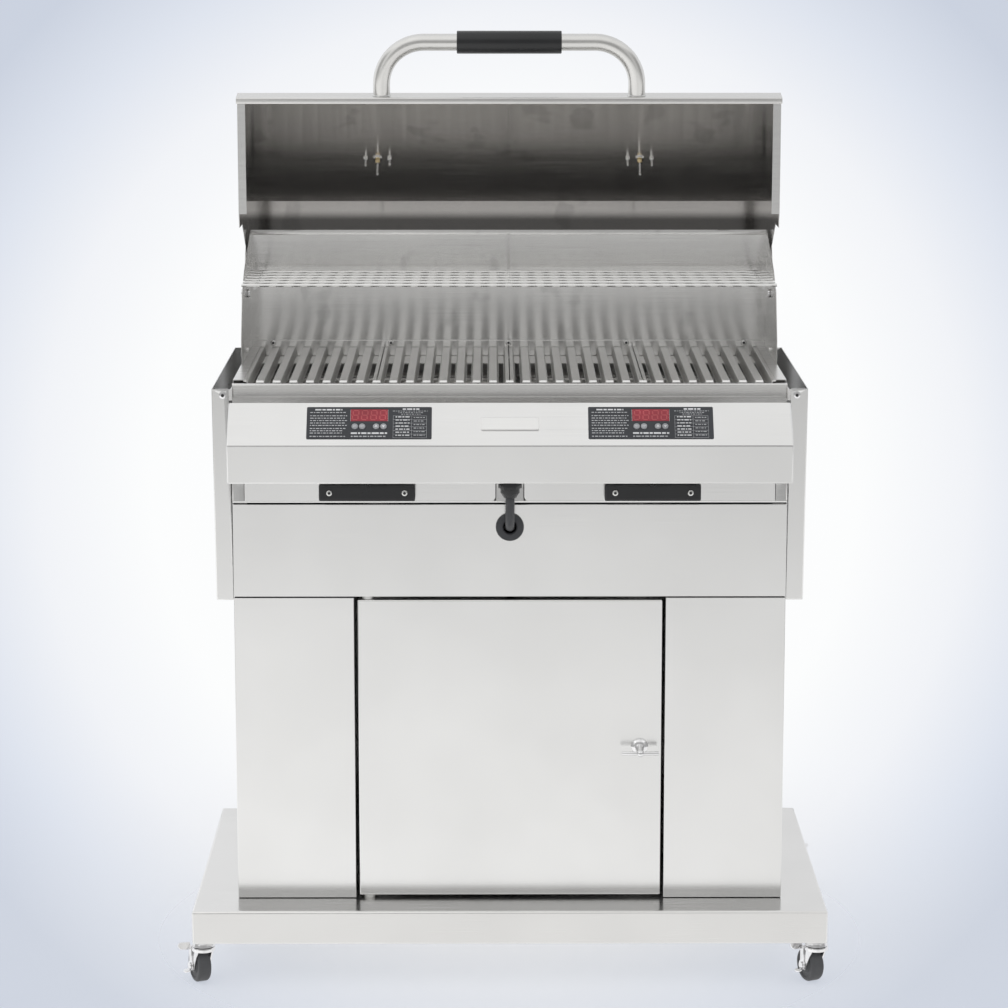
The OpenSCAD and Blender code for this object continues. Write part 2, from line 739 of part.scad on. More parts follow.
// Least gap between the coil's turns, and between the coil and the cord that comes down to it
function finer(route) = [for (i = [0:len(route) - 2], s = [0:0.25:0.75])
    route[i] * (1 - s) + route[i + 1] * s];
FINE_COIL = finer(COIL_ROUTE);
FINE_CORD = finer(CORD_ROUTE);
half_turn = coil_steps * 2;
coil_gap = min([for (i = [0:len(FINE_COIL) - 1], j = [i + half_turn:1:len(FINE_COIL) - 1])
    norm(FINE_COIL[i] - FINE_COIL[j])]) - cord_d;
lead_gap = min([for (i = [0:len(FINE_CORD) - 2], j = [half_turn:1:len(FINE_COIL) - 1])
    norm(FINE_CORD[i] - FINE_COIL[j])]) - cord_d;
echo("least gap of the coil to itself", coil_gap, "to its lead", lead_gap);
echo("cord length", route_length(CORD_ROUTE) + route_length(COIL_ROUTE));

// Firebox

tab_y0 = front_y + shelf_back + sheet + slip;
tab_t = 3;
shelf_y0 = front_y + shelf_back;
shelf_y1 = shelf_y0 + shelf_d;
shelf_x = cab_x + shelf_gap;
shelf_pin_x = shelf_x + shelf_pin_in;
shelf_pin_z = deck_z - shelf_drop - shelf_pin_down;
tab_r = 8;
strap_t = 2;
strap_l = 34;
bay_top = box_z - 2;
hem_h = 3;
runner_w = 10;
tray_in = tray_mid / 2;
tray_out = cab_x - tray_side;
tray_z = head_z + hem_h + slip;
rod_z0 = deck_z - rod_drop;
rod_in = 40;
rod_out = cab_x - 54;
rod_lead_x = cab_x - 16;
rod_y0 = wall_y + 44;
bar_h = 12;
bar_top = rod_z0 - rod_d / 2 - slip;
bar_t = 3;
bar_in = 70;
bar_x = [rod_in + bar_in, rod_out - bar_in];
strip_t = 4;
strip_up = 10;
// Bottom of the firebox with its hem and runners, and the flanges beside and between the trays
module tray_bay() {
    color("silver") {
        block([-cab_x, front_y, head_z], [cab_x, fire_back, head_z + fire_t]);
        block([-cab_x, front_y, head_z], [cab_x, front_y + hem_h, head_z + hem_h]);
        both_sides() for (x = [tray_in + runner_w, tray_out - 2 * runner_w])
            block([x, front_y, head_z], [x + runner_w, fire_back - fire_t, head_z + hem_h]);
        both_sides() block([tray_out + past, front_y, head_z], [fire_in, front_y + fire_t, bay_top]);
        block([past - tray_in, front_y, head_z], [tray_in - past, front_y + fire_t, bay_top]);
    }
}
module firebox_shell() {
    ledge_end = rail_rear + ledge_w + slip;
    foot = head_z + fire_t;
    color("silver") difference() {
        union() {
            // Side walls
            both_sides() across(fire_in, cab_x)
                polygon([[front_y + hem_h, foot], [fire_back, foot], [fire_back, ledge_z],
                         [riser_y + sheet, ledge_z], [riser_y + sheet, deck_z], [ledge_end, deck_z],
                         [ledge_end, ledge_z - sheet], [wall_y, ledge_z - sheet],
                         [wall_y, bay_top], [front_y, bay_top], [front_y, head_z + hem_h],
                         [front_y + hem_h, head_z + hem_h]]);
            // Deck flange beside the grates
            both_sides() block([cab_x - grate_side + slip, ledge_end, deck_z - fire_t],
                               [cab_x, riser_y - strip_t, deck_z]);
            // Front wall above the trays, back wall and the ledge behind the grates
            block([-cab_x, wall_y, box_z + sheet], [cab_x, wall_y + fire_t, ledge_z - sheet]);
            block([-cab_x, fire_back - fire_t, foot], [cab_x, fire_back, ledge_z]);
            block([-cab_x, riser_y - riser_gap - ledge_w, ledge_z - fire_t], [cab_x, fire_back, ledge_z]);
            // Bars under the heating elements
            both_sides() for (x = bar_x)
                block([x, wall_y, bar_top - bar_h], [x + bar_t, fire_back, bar_top]);
            // Ears that carry the shelves, with the straps that tie the front ones to the side walls
            both_sides() for (y = [tab_y0, shelf_y1 - sheet - slip - tab_t]) ear(y);
            both_sides() block([cab_x, tab_y0, shelf_pin_z - tab_r],
                               [cab_x + strap_t, wall_y + strap_l, shelf_pin_z + tab_r]);
        }
        for (side = [-1, 1], x = [rod_in, rod_lead_x])
            rod_y([side * x, wall_y - past, rod_z0], fire_t + 2 * past, rod_d + 2 * slip);
        for (x = [-shelf_pin_x, shelf_pin_x])
            rod_y([x, tab_y0 - past, shelf_pin_z], shelf_y1 - tab_y0 + past, shelf_bolt_d + slip);
    }
}
module ear(y) {
    translate([0, y + tab_t, 0]) rotate([90, 0, 0]) linear_extrude(tab_t) {
        translate([shelf_pin_x, shelf_pin_z]) circle(r = tab_r);
        translate([cab_x - past, shelf_pin_z - tab_r]) square([shelf_pin_x - cab_x + past, 2 * tab_r]);
    }
}
module front_rail() {
    crease = rail_foot + 9;
    top = deck_z - rail_down;
    path = concat([[rail_y + 1, rail_foot], [rail_y + 1, crease], [rail_y, crease + 1]],
                  arc([rail_y + 3, top - 3], 3, 180, 90, 4),
                  [[rail_rear, top], [rail_rear, ledge_z], [rail_rear + ledge_w, ledge_z]]);
    color("silver") across(-cab_x, cab_x) polygon(folded(path, sheet));
}

// Control box

slope_l = norm([slope_run, slope_rise]);
slope_tilt = atan2(slope_rise, slope_run);
box_top = rail_foot - 1;
// Places its children on the sloped panel: x along it, y up the slope, z out of it
module on_slope(x, up) {
    translate([x, fascia_y, fascia_top]) rotate([slope_tilt, 0, 0]) translate([0, up, 0]) children();
}
overlay_up = slope_l / 2 + 1.5;
button_xs = [-button_x - button_pitch, -button_x, button_x, button_x + button_pitch];
button_up = overlay_up - button_down;
button_bore = button_d + 2 * slip;
module control_box() {
    lean = 1.5;
    path = [[wall_y, box_z], [fascia_y + lean, box_z], [fascia_y, fascia_top],
            [fascia_y + slope_run, slope_top], [fascia_y + slope_run + 2, box_top], [wall_y, box_top]];
    color("gainsboro") difference() {
        union() {
            across(-box_x, box_x) polygon(folded(path, sheet));
            both_sides() across(box_x - sheet, box_x) polygon(path);
        }
        for (side = [-1, 1], x = button_xs)
            on_slope(side * overlay_x + x, button_up)
                rod_z([0, 0, -sheet - past], sheet + 2 * past, button_bore);
    }
}
module overlays() {
    color("#2f3236") for (side = [-1, 1]) difference() {
        on_slope(side * overlay_x, overlay_up) linear_extrude(overlay_t) difference() {
            rounded_rect(overlay_w, overlay_h, 2);
            translate([0, display_up]) square([display_w + slip, display_h + slip], center = true);
        }
        for (x = button_xs)
            on_slope(side * overlay_x + x, button_up) rod_z([0, 0, -past], overlay_t + 2 * past, button_bore);
    }
}
module displays() {
    color("firebrick") for (side = [-1, 1]) on_slope(side * overlay_x, overlay_up + display_up)
        linear_extrude(overlay_t) square([display_w - slip, display_h - slip], center = true);
}
module button(side, k) {
    keeper_t = 1.5;
    depth = sheet + slip;
    color("darkgray") on_slope(side * overlay_x + button_xs[k], button_up) {
        rod_z([0, 0, -depth - keeper_t], depth + keeper_t + overlay_t + button_proud, button_d);
        rod_z([0, 0, -depth - keeper_t], keeper_t, button_d + 1.2);
    }
}

// Drip trays

front_gap = 3;
tray_y = front_y - front_gap;
module tray() {
    inset = 3;
    corner_r = 6;
    color("silver") {
        // Front plate with its lower inner corner rounded
        translate([0, tray_y, 0]) rotate([90, 0, 0]) linear_extrude(sheet) difference() {
            translate([tray_in, tray_z]) square([tray_out - tray_in, bay_top - tray_z]);
            translate([tray_in, tray_z]) difference() {
                square(2 * corner_r, center = true);
                translate([corner_r, corner_r]) circle(r = corner_r);
            }
        }
        // Open pan
        difference() {
            block([tray_in + inset, tray_y, tray_z], [tray_out - inset, tray_y + tray_d, tray_z + tray_h]);
            block([tray_in + inset + tray_t, tray_y + tray_t, tray_z + tray_t],
                  [tray_out - inset - tray_t, tray_y + tray_d - tray_t, tray_z + tray_h + past]);
        }
    }
}
module left_tray() { mirror([1, 0, 0]) tray(); }
module right_tray() { tray(); }
pull_x = (tray_in + tray_out) / 2 + pull_aside;
pull_z = tray_z + 3;
module pull() {
    y0 = tray_y - sheet - pull_d;
    y1 = tray_y - sheet;
    lip_t = 7;
    end_t = 9;
    color("#222222") difference() {
        across(pull_x - pull_w / 2, pull_x + pull_w / 2)
            polygon(concat([[y1, pull_z], [y1, pull_z + pull_h]],
                           arc([y0 + 4, pull_z + pull_h - 4], 4, 90, 180, 5),
                           arc([y0 + 3, pull_z + 3], 3, 180, 270, 4)));
        block([pull_x - pull_w / 2 + end_t, y0 + lip_t, pull_z - past],
              [pull_x + pull_w / 2 - end_t, y0 + lip_t + pull_gap, pull_z + pull_h - 6]);
    }
}
module left_tray_handle() { mirror([1, 0, 0]) pull(); }
module right_tray_handle() { pull(); }

// Heating elements and grates

rod_bend = rod_pitch / 2;
function run_y(k) = rod_y0 + k * rod_pitch;
// Half turn between run k and the next, bulging to the side given by its sign
function half_turn(x, k, side) =
    [for (p = arc([x, run_y(k) + rod_bend], rod_bend, -90, side > 0 ? 90 : -270, 6)) [p[0], p[1], rod_z0]];
lead_bend = 20;
lead_end = wall_y - 12;
ELEMENT_ROUTE = concat(
    [[rod_in, lead_end, rod_z0]],
    [for (p = arc([rod_in + lead_bend, rod_y0 - lead_bend], lead_bend, 180, 90, 4)) [p[0], p[1], rod_z0]],
    [for (k = [0:rod_runs - 2], p = half_turn(k % 2 == 0 ? rod_out : rod_in, k, k % 2 == 0 ? 1 : -1)) p],
    [for (p = arc([rod_lead_x - lead_bend, run_y(rod_runs - 1) - lead_bend], lead_bend, 90, 0, 4))
        [p[0], p[1], rod_z0]],
    [[rod_lead_x, lead_end, rod_z0]]);
module heating_elements() { color("dimgray") both_sides() tube(ELEMENT_ROUTE, rod_d, 8, [0, 0, 1]); }

grate_w = (cab_w - 2 * grate_side) / grate_count;
bar_pitch = (grate_w - slip) / grate_bars;
// Half a corrugation from a ridge's middle to the next valley's middle, as shares of the pitch
ridge_half = 0.24;
valley_half = 0.17;
function corrugation(k) = let (x = k * bar_pitch, top = grate_h, foot = grate_t) [
    [x + ridge_half * bar_pitch, top], [x + (0.5 - valley_half) * bar_pitch, foot],
    [x + (0.5 + valley_half) * bar_pitch, foot], [x + (1 - ridge_half) * bar_pitch, top]];
GRATE_PATH = concat([[0, grate_h]], [for (k = [0:grate_bars - 1], p = corrugation(k)) p],
                    [[grate_bars * bar_pitch, grate_h]]);
module grate() {
    slot_w = 2 * valley_half * bar_pitch - 1;
    front_land = 12;
    translate([0, grate_y, ledge_z]) difference() {
        translate([0, grate_d, 0]) rotate([90, 0, 0]) linear_extrude(grate_d)
            polygon(folded(GRATE_PATH, grate_t));
        for (k = [0:grate_bars - 1])
            block([(k + 0.5) * bar_pitch - slot_w / 2, front_land, -past],
                  [(k + 0.5) * bar_pitch + slot_w / 2, front_land + slot_l, grate_t + past]);
    }
}
module cooking_grates() {
    color("darkgray") for (k = [0:grate_count - 1])
        translate([grate_side - cab_x + k * grate_w + slip / 2, 0, 0]) grate();
}

// Riser and warming rack

wall_front = riser_y - wall_reach;
bolt_hole = lid_bolt_d + slip;
crest_l = 14;
module riser_back() {
    hem = 8;
    color("silver") {
        block([-riser_x, riser_y, ledge_z], [riser_x, riser_y + sheet, riser_top]);
        block([-riser_x + sheet, riser_y - sheet, riser_top - hem], [riser_x - sheet, riser_y, riser_top]);
        block([-riser_x + sheet, riser_y - strip_t, ledge_z],
              [riser_x - sheet, riser_y, deck_z + strip_up]);
    }
}
module riser_sides() {
    color("silver") both_sides() difference() {
        across(riser_x - sheet, riser_x)
            polygon([[wall_front, deck_z], [wall_front, deck_z + nose_h],
                     [wall_front + shoulder_in, deck_z + shoulder_h], [wall_front + brow_in, deck_z + brow_h],
                     [riser_y - crest_l, riser_top], [riser_y, riser_top], [riser_y, deck_z]]);
        rod_x([riser_x - sheet - past, lid_y, lid_z], sheet + 2 * past, bolt_hole);
    }
}
module warming_rack() {
    rack_x = riser_x - sheet - slip;
    rear = riser_y - rack_back;
    z = deck_z + rack_h;
    front = rear - (rack_rods - 1) * rack_pitch;
    color("lightgray") {
        for (k = [0:rack_rods - 1]) rod_x([-rack_x, front + k * rack_pitch, z], 2 * rack_x, rack_d);
        for (x = [-rack_x + 20, 0, rack_x - 20])
            rod_y([x, front - rack_d / 2, z - rack_d * 0.8], rear - front + rack_d, rack_d);
    }
}

// Lid, in its closed place, then swung open about its pivot

lip_z = deck_z + lid_clear;
lip_y = rail_y - lip_over;
band_top = [lip_y - band_lean, lip_z + band_h];
fold = [rail_y + fold_in, deck_z + lid_h];
tail = [riser_y + tail_over, deck_z + tail_h];
LID_PATH = [[lip_y + lip_w, lip_z], [lip_y, lip_z], band_top, fold, tail];
LID_INNER = parallel(LID_PATH, sheet);
module swung_open() {
    translate([0, lid_y, lid_z]) rotate([-90, 0, 0]) translate([0, -lid_y, -lid_z]) children();
}
// Frame on the lid's sloped face: z points out of the lid
gauge_share = 0.59;
gauge_at = band_top + gauge_share * (fold - band_top);
face_tilt = atan2(fold[1] - band_top[1], fold[0] - band_top[0]);
module on_lid_face(x) {
    translate([x, gauge_at[0], gauge_at[1]]) rotate([face_tilt, 0, 0]) children();
}
probe_d = 6;
module lid_shell() {
    color("gainsboro") swung_open() difference() {
        union() {
            across(-lid_x, lid_x) polygon(folded(LID_PATH, sheet));
            across(-lid_x - band_over, lid_x + band_over)
                polygon(folded([for (k = [0:2]) LID_PATH[k]], sheet));
        }
        for (x = [-gauge_x, gauge_x])
            on_lid_face(x) rod_z([0, 0, -sheet - past], sheet + 2 * past, probe_d + slip);
    }
}
arm_r = 14;
notch_y = wall_front + 17;
notch_in = 70;
notch_up = 33;
notch_down = 28;
module lid_end() {
    rim_end = wall_front - 4;
    difference() {
        union() {
            across(lid_in, lid_x) {
                polygon([[lip_y + sheet, lip_z + sheet], LID_INNER[2], LID_INNER[3], LID_INNER[4],
                         [lid_y + arm_r, lid_z], [lid_y - arm_r, lid_z],
                         [lid_y - notch_in, lid_z + notch_up], [notch_y, lid_z - notch_down],
                         [notch_y, lip_z + sheet]]);
                translate([lid_y, lid_z]) circle(r = arm_r);
            }
            block([lid_x - rim_w, lip_y + lip_w + slip, lip_z], [lid_x, rim_end, lip_z + sheet]);
        }
        rod_x([lid_in - past, lid_y, lid_z], sheet + 2 * past, lid_bolt_d + 2 * run_fit);
    }
}
module lid_ends() { color("gainsboro") swung_open() both_sides() lid_end(); }
band_mid = ([lip_y, lip_z] + band_top) / 2;
band_tilt = atan2(band_lean, band_h);
// Frame on the middle of the front band: z points out of the lid
module on_band() {
    translate([0, band_mid[0], band_mid[1]]) rotate([90 + band_tilt, 0, 0]) children();
}
top_x = handle_x - handle_bend;
post_l = handle_off - handle_bend;
function handle_corner(side) =
    [for (p = arc([top_x, post_l], handle_bend, 0, 90, 10)) [side * p[0], 0, p[1]]];
HANDLE_ROUTE = concat([[handle_x, 0, 0]], handle_corner(1), reversed(handle_corner(-1)), [[-handle_x, 0, 0]]);
module lid_handle() { color("lightgray") swung_open() on_band() tube(HANDLE_ROUTE, handle_d, 24, [0, 1, 0]); }
module lid_grip() {
    color("#222222") swung_open() on_band() translate([0, 0, handle_off]) difference() {
        rod_x([-grip_w / 2, 0, 0], grip_w, grip_d);
        rod_x([-grip_w / 2 - past, 0, 0], grip_w + 2 * past, handle_d + slip);
    }
}
module thermometers() {
    nut_t = 6;
    rim_lift = 3;
    color("silver") swung_open() for (x = [-gauge_x, gauge_x]) on_lid_face(x) {
        rod_z([0, 0, seat], gauge_t - rim_lift, gauge_d - 8);
        rod_z([0, 0, rim_lift], gauge_t - rim_lift, gauge_d);
        rod_z([0, 0, -sheet - probe_l], sheet + probe_l + rim_lift, probe_d);
        translate([0, 0, -sheet - nut_t - seat]) cylinder(h = nut_t, d = probe_d + 8, $fn = 6);
    }
}

// Side shelves and pivot bolts

module shelf() {
    outer = shelf_x + shelf_t;
    z1 = shelf_pin_z + shelf_pin_down;
    color("gainsboro") translate([shelf_pin_x, 0, shelf_pin_z]) rotate([0, shelf_lean, 0])
        translate([-shelf_pin_x, 0, -shelf_pin_z]) difference() {
            block([shelf_x, shelf_y0, z1 - shelf_h], [outer, shelf_y1, z1]);
            block([shelf_x - past, shelf_y0 + sheet, z1 - shelf_h + sheet],
                  [outer - sheet, shelf_y1 - sheet, z1 + past]);
            rod_y([shelf_pin_x, shelf_y0 - past, shelf_pin_z], shelf_d + 2 * past,
                  shelf_bolt_d + 2 * run_fit);
        }
}
module left_shelf() { mirror([1, 0, 0]) shelf(); }
module right_shelf() { shelf(); }
module lid_bolt() {
    head_d = lid_bolt_d + 5;
    inner = riser_x - sheet;
    rod_x([inner, lid_y, lid_z], lid_x + slip - inner + bolt_head_t, lid_bolt_d);
    rod_x([inner - bolt_head_t, lid_y, lid_z], bolt_head_t, head_d);
    rod_x([riser_x, lid_y, lid_z], lid_in - riser_x - slip, head_d);
    rod_x([lid_x + slip, lid_y, lid_z], bolt_head_t, head_d);
}
module shelf_bolt(y, out) {
    head_d = shelf_bolt_d + 4;
    l = tab_t + sheet + 2 * slip + 2;
    translate([shelf_pin_x, y, shelf_pin_z]) rotate([out * 90, 0, 0]) {
        rod_z([0, 0, -l], l + slip, shelf_bolt_d);
        rod_z([0, 0, slip], bolt_head_t - 1, head_d);
    }
}
module pivot_bolts() {
    color("gray") both_sides() {
        lid_bolt();
        shelf_bolt(shelf_y0, 1);
        shelf_bolt(shelf_y1, -1);
    }
}

base_pan();
caster_mounts();
caster_fork(0);  // caster_fork_fl
caster_fork(1);  // caster_fork_fr
caster_fork(2);  // caster_fork_rl
caster_fork(3);  // caster_fork_rr
caster_wheel(0);  // caster_wheel_fl
caster_wheel(1);  // caster_wheel_fr
caster_wheel(2);  // caster_wheel_rl
caster_wheel(3);  // caster_wheel_rr
caster_brake(0);  // caster_brake_fl
caster_brake(1);  // caster_brake_fr
caster_brake(2);  // caster_brake_rl
caster_brake(3);  // caster_brake_rr
cabinet_left();
cabinet_right();
cabinet_back();
front_apron();
cabinet_door();
door_pins();
door_bushes();
latch_escutcheon();
latch_handle();
latch_cam();
cord_grommet();
cord_gland();
power_cord();
cord_coil();
power_plug();
tray_bay();
firebox_shell();
front_rail();
control_box();
overlays();
displays();
button(-1, 0);  // left_button_1
button(-1, 1);  // left_button_2
button(-1, 2);  // left_button_3
button(-1, 3);  // left_button_4
button(1, 0);  // right_button_1
button(1, 1);  // right_button_2
button(1, 2);  // right_button_3
button(1, 3);  // right_button_4
left_tray();
right_tray();
left_tray_handle();
right_tray_handle();
heating_elements();
cooking_grates();
warming_rack();
riser_back();
riser_sides();
lid_shell();
lid_ends();
lid_handle();
lid_grip();
thermometers();
left_shelf();
right_shelf();
pivot_bolts();
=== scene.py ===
"""Looks of the electric grill on its cabinet cart: steel sheet, plated fittings, mouldings and cord."""
import json
import math

import bmesh
import bpy
from mathutils import Matrix, Vector

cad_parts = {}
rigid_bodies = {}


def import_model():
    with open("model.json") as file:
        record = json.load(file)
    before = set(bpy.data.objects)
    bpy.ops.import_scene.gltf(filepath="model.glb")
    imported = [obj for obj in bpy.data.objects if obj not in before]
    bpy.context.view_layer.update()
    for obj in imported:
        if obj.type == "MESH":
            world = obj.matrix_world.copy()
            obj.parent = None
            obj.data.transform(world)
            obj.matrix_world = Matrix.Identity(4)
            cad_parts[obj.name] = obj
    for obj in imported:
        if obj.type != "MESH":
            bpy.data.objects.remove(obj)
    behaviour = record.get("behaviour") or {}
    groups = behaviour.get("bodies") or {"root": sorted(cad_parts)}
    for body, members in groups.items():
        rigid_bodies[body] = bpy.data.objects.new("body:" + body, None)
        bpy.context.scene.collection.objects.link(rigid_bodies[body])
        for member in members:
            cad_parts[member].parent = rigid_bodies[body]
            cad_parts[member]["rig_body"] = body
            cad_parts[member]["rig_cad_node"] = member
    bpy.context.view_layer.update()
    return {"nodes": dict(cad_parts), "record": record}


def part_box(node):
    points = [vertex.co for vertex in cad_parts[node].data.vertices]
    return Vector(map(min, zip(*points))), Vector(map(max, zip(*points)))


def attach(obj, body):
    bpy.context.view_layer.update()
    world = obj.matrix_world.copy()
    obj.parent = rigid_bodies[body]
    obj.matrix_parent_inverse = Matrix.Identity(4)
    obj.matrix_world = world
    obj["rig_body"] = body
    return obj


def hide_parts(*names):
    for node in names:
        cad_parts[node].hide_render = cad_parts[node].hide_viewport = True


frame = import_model()
BODY_OF = {n: b for b, nodes in frame["record"]["behaviour"]["bodies"].items() for n in nodes}
SLOT_OF = {s["node"]: s["material_slot"] for s in frame["record"]["subparts"]}
MM = 0.001
BOTH = (-1, 1)
SIDES = ((-1, "left"), (1, "right"))


# Bench tools

def clear_selection():
    if bpy.context.object and bpy.context.object.mode != "OBJECT":
        bpy.ops.object.mode_set(mode="OBJECT")
    bpy.ops.object.select_all(action="DESELECT")


def take(piece):
    """Makes a piece the only selected one."""
    clear_selection()
    piece.select_set(True)
    bpy.context.view_layer.objects.active = piece
    return piece


def open_mesh(piece, mode="FACE"):
    """Opens a piece in edit mode with nothing selected and returns its mesh."""
    take(piece)
    bpy.ops.object.mode_set(mode="EDIT")
    bpy.ops.mesh.select_mode(type=mode)
    bpy.ops.mesh.select_all(action="DESELECT")
    return bmesh.from_edit_mesh(piece.data)


def open_whole(piece, mode="FACE"):
    """Opens a piece in edit mode with all of it selected."""
    open_mesh(piece, mode)
    bpy.ops.mesh.select_all(action="SELECT")


def close_mesh():
    bpy.ops.object.mode_set(mode="OBJECT")


def pick(mesh, items, test):
    """Selects the faces or edges that pass a test and says how many there are."""
    found = [i for i in items if test(i)]
    for i in found:
        i.select_set(True)
    mesh.select_flush_mode()
    return len(found)


def bevel(width, segments=2):
    bpy.ops.mesh.bevel(offset=width, offset_type="OFFSET", segments=segments, affect="EDGES",
                       clamp_overlap=True)


def settle(piece):
    """Puts a piece's place into its mesh."""
    take(piece)
    bpy.ops.object.transform_apply(location=True, rotation=True, scale=True)


def smooth(piece, degrees=35):
    take(piece)
    bpy.ops.object.shade_smooth_by_angle(angle=math.radians(degrees))


def lay_grain(piece):
    """Gives a piece the map that its brushed grain follows: level on every wall, crosswise on every top."""
    while piece.data.uv_layers:
        piece.data.uv_layers.remove(piece.data.uv_layers[0])
    piece.data.uv_layers.new(name="grain")
    open_whole(piece)
    bpy.ops.uv.cube_project(cube_size=1.0, correct_aspect=False, clip_to_bounds=False,
                            scale_to_bounds=False)
    close_mesh()


def dress(piece, finish):
    piece.data.materials.clear()
    piece.data.materials.append(finish)
    return piece


def fit(piece, name, body, finish, slot, *nodes):
    """Names a finished piece, gives it its finish and its body, and hides the parts that it stands for."""
    piece.name = name
    piece.data.name = name
    dress(piece, finish)
    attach(piece, body)
    if nodes:
        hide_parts(*nodes)
    return piece


def copy_of(piece, move=(0, 0, 0), turn=None):
    """A copy with its own mesh, turned about the origin if asked and then moved."""
    clear_selection()
    twin = piece.copy()
    twin.data = piece.data.copy()
    bpy.context.scene.collection.objects.link(twin)
    twin.data.transform(Matrix.Translation(move) @ (turn or Matrix.Identity(4)))
    return twin


def join(pieces):
    clear_selection()
    for p in pieces:
        p.select_set(True)
    bpy.context.view_layer.objects.active = pieces[0]
    bpy.ops.object.join()
    return pieces[0]


def mm(*values):
    return Vector(values) * MM


def raised(piece, height):
    """Lifts a piece in its own mesh."""
    piece.data.transform(Matrix.Translation((0, 0, height)))
    return piece


def facing(out):
    """The turn that takes +Z to a direction."""
    return Vector((0, 0, 1)).rotation_difference(Vector(out)).to_matrix().to_4x4()


def set_of(master, places):
    """Copies of a small piece at places given as (point, direction that it stands along), as one piece."""
    pieces = [copy_of(master, at, facing(out)) for at, out in places]
    bpy.data.objects.remove(master)
    return join(pieces)


def slab(width, depth, thick, corner=0.0, steps=4):
    """A flat plate standing on the origin, with its corners rounded."""
    clear_selection()
    bpy.ops.mesh.primitive_cube_add(size=1)
    plate = bpy.context.object
    plate.scale = (width, depth, thick)
    plate.location = (0, 0, thick / 2)
    settle(plate)
    if corner:
        mesh = open_mesh(plate, "EDGE")
        pick(mesh, mesh.edges, lambda e: abs((e.verts[0].co - e.verts[1].co).normalized().z) > 0.9)
        bevel(corner, steps)
        close_mesh()
    return plate


def round_bar(radius, length, sides=32, rim=0.0, steps=3):
    """A round bar standing on the origin, with its top rim rounded."""
    clear_selection()
    bpy.ops.mesh.primitive_cylinder_add(vertices=sides, radius=radius, depth=length,
                                        location=(0, 0, length / 2))
    bar = bpy.context.object
    settle(bar)
    if rim:
        mesh = open_mesh(bar, "EDGE")
        pick(mesh, mesh.edges, lambda e: all(v.co.z > length * 0.99 for v in e.verts))
        bevel(rim, steps)
        close_mesh()
    return bar


def sink_top(piece, rim, depth):
    """Insets the flat top of a piece and sets it down."""
    top = max(v.co.z for v in piece.data.vertices)
    mesh = open_mesh(piece)
    pick(mesh, mesh.faces, lambda f: f.normal.z > 0.999 and f.calc_center_median().z > top - 1e-6)
    bpy.ops.mesh.inset(thickness=rim)
    bpy.ops.mesh.extrude_region_move(TRANSFORM_OT_translate={"value": (0, 0, -depth)})
    close_mesh()


# Shares of a screw's diameter and head, among them the radius of the dark disc of painted shade in its
# socket, and of a nut's width and thickness
HEAD_ROUND, SOCKET_RIM, SOCKET_DEPTH, SOCKET_SHADE_R = 0.5, 0.12, 0.5, 0.26
NUT_CHAMFER, NUT_RIM, NUT_DISH = 0.15, 0.16, 0.2


def socket_screw(d, head):
    """Button-head screw with a round drive socket."""
    screw = round_bar(d / 2, head, 24, head * HEAD_ROUND)
    sink_top(screw, d * SOCKET_RIM, head * SOCKET_DEPTH)
    smooth(screw)
    return screw


def hex_nut(across, thick):
    nut = round_bar(across / 2 / math.cos(math.pi / 6), thick, 6, thick * NUT_CHAMFER, 2)
    sink_top(nut, across * NUT_RIM, thick * NUT_DISH)
    smooth(nut, 25)
    return nut


LETTER_T = 0.1 * MM


def lettering(words, size):
    """A short word or a number as a thin mesh about the origin."""
    clear_selection()
    bpy.ops.object.text_add()
    text = bpy.context.object
    text.data.body = words
    text.data.size = size
    text.data.align_x = text.data.align_y = "CENTER"
    text.data.extrude = LETTER_T / 2
    bpy.ops.object.convert(target="MESH")
    return bpy.context.object


def round_curve(name, radius, facets):
    """A curve with no points yet that is drawn as a round bar with closed ends."""
    clear_selection()
    curve = bpy.data.curves.new(name, "CURVE")
    curve.dimensions = "3D"
    curve.bevel_depth = radius
    curve.bevel_resolution = facets
    curve.use_fill_caps = True
    tube = bpy.data.objects.new(name, curve)
    bpy.context.scene.collection.objects.link(tube)
    return tube


# Sheet metal copies of the parts

FOLD_LEAST, FOLD_TURN = 4 * MM, math.radians(20)
SHARP_TURN = math.radians(35)
WIDE_LEAST, WIDE_AREA = 8 * MM, 150 * MM * MM
FLAT_TURN = math.radians(0.5)
MERGE, WELD = 0.01 * MM, 0.006 * MM
FOOT_FLANGE, FOOT_JOINT = 3 * MM, 1.2 * MM
GRATES, SEAM_HALF, SEAM_NEAR = 4, 0.7 * MM, 0.5 * MM


def breadth(face):
    """The width of a strip, from its area and its longest edge."""
    return face.calc_area() / max(e.calc_length() for e in face.edges)


def is_fold(edge):
    """An outer corner between two wide faces, where the sheet is bent and not cut."""
    if len(edge.link_faces) != 2 or not edge.is_convex or edge.calc_face_angle() < FOLD_TURN:
        return False
    return all(breadth(f) > FOLD_LEAST for f in edge.link_faces)


def is_sharp(edge):
    return len(edge.link_faces) == 2 and edge.is_convex and edge.calc_face_angle() > SHARP_TURN


def is_wide(face):
    """A sheet's own flat face, not a strip along its edge or a facet of a round piece."""
    return face.calc_area() > WIDE_AREA and breadth(face) > WIDE_LEAST


def bare_copy(node):
    """A copy of a part with its triangles merged into whole faces."""
    take(frame["nodes"][node])
    bpy.ops.object.duplicate()
    piece = bpy.context.object
    bpy.ops.object.parent_clear(type="CLEAR")
    bpy.ops.mesh.customdata_custom_splitnormals_clear()
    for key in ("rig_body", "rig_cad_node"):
        del piece[key]
    open_whole(piece, "VERT")
    bpy.ops.mesh.remove_doubles(threshold=MERGE)
    bpy.ops.mesh.dissolve_limited(angle_limit=FLAT_TURN, delimit=set())
    close_mesh()
    return piece


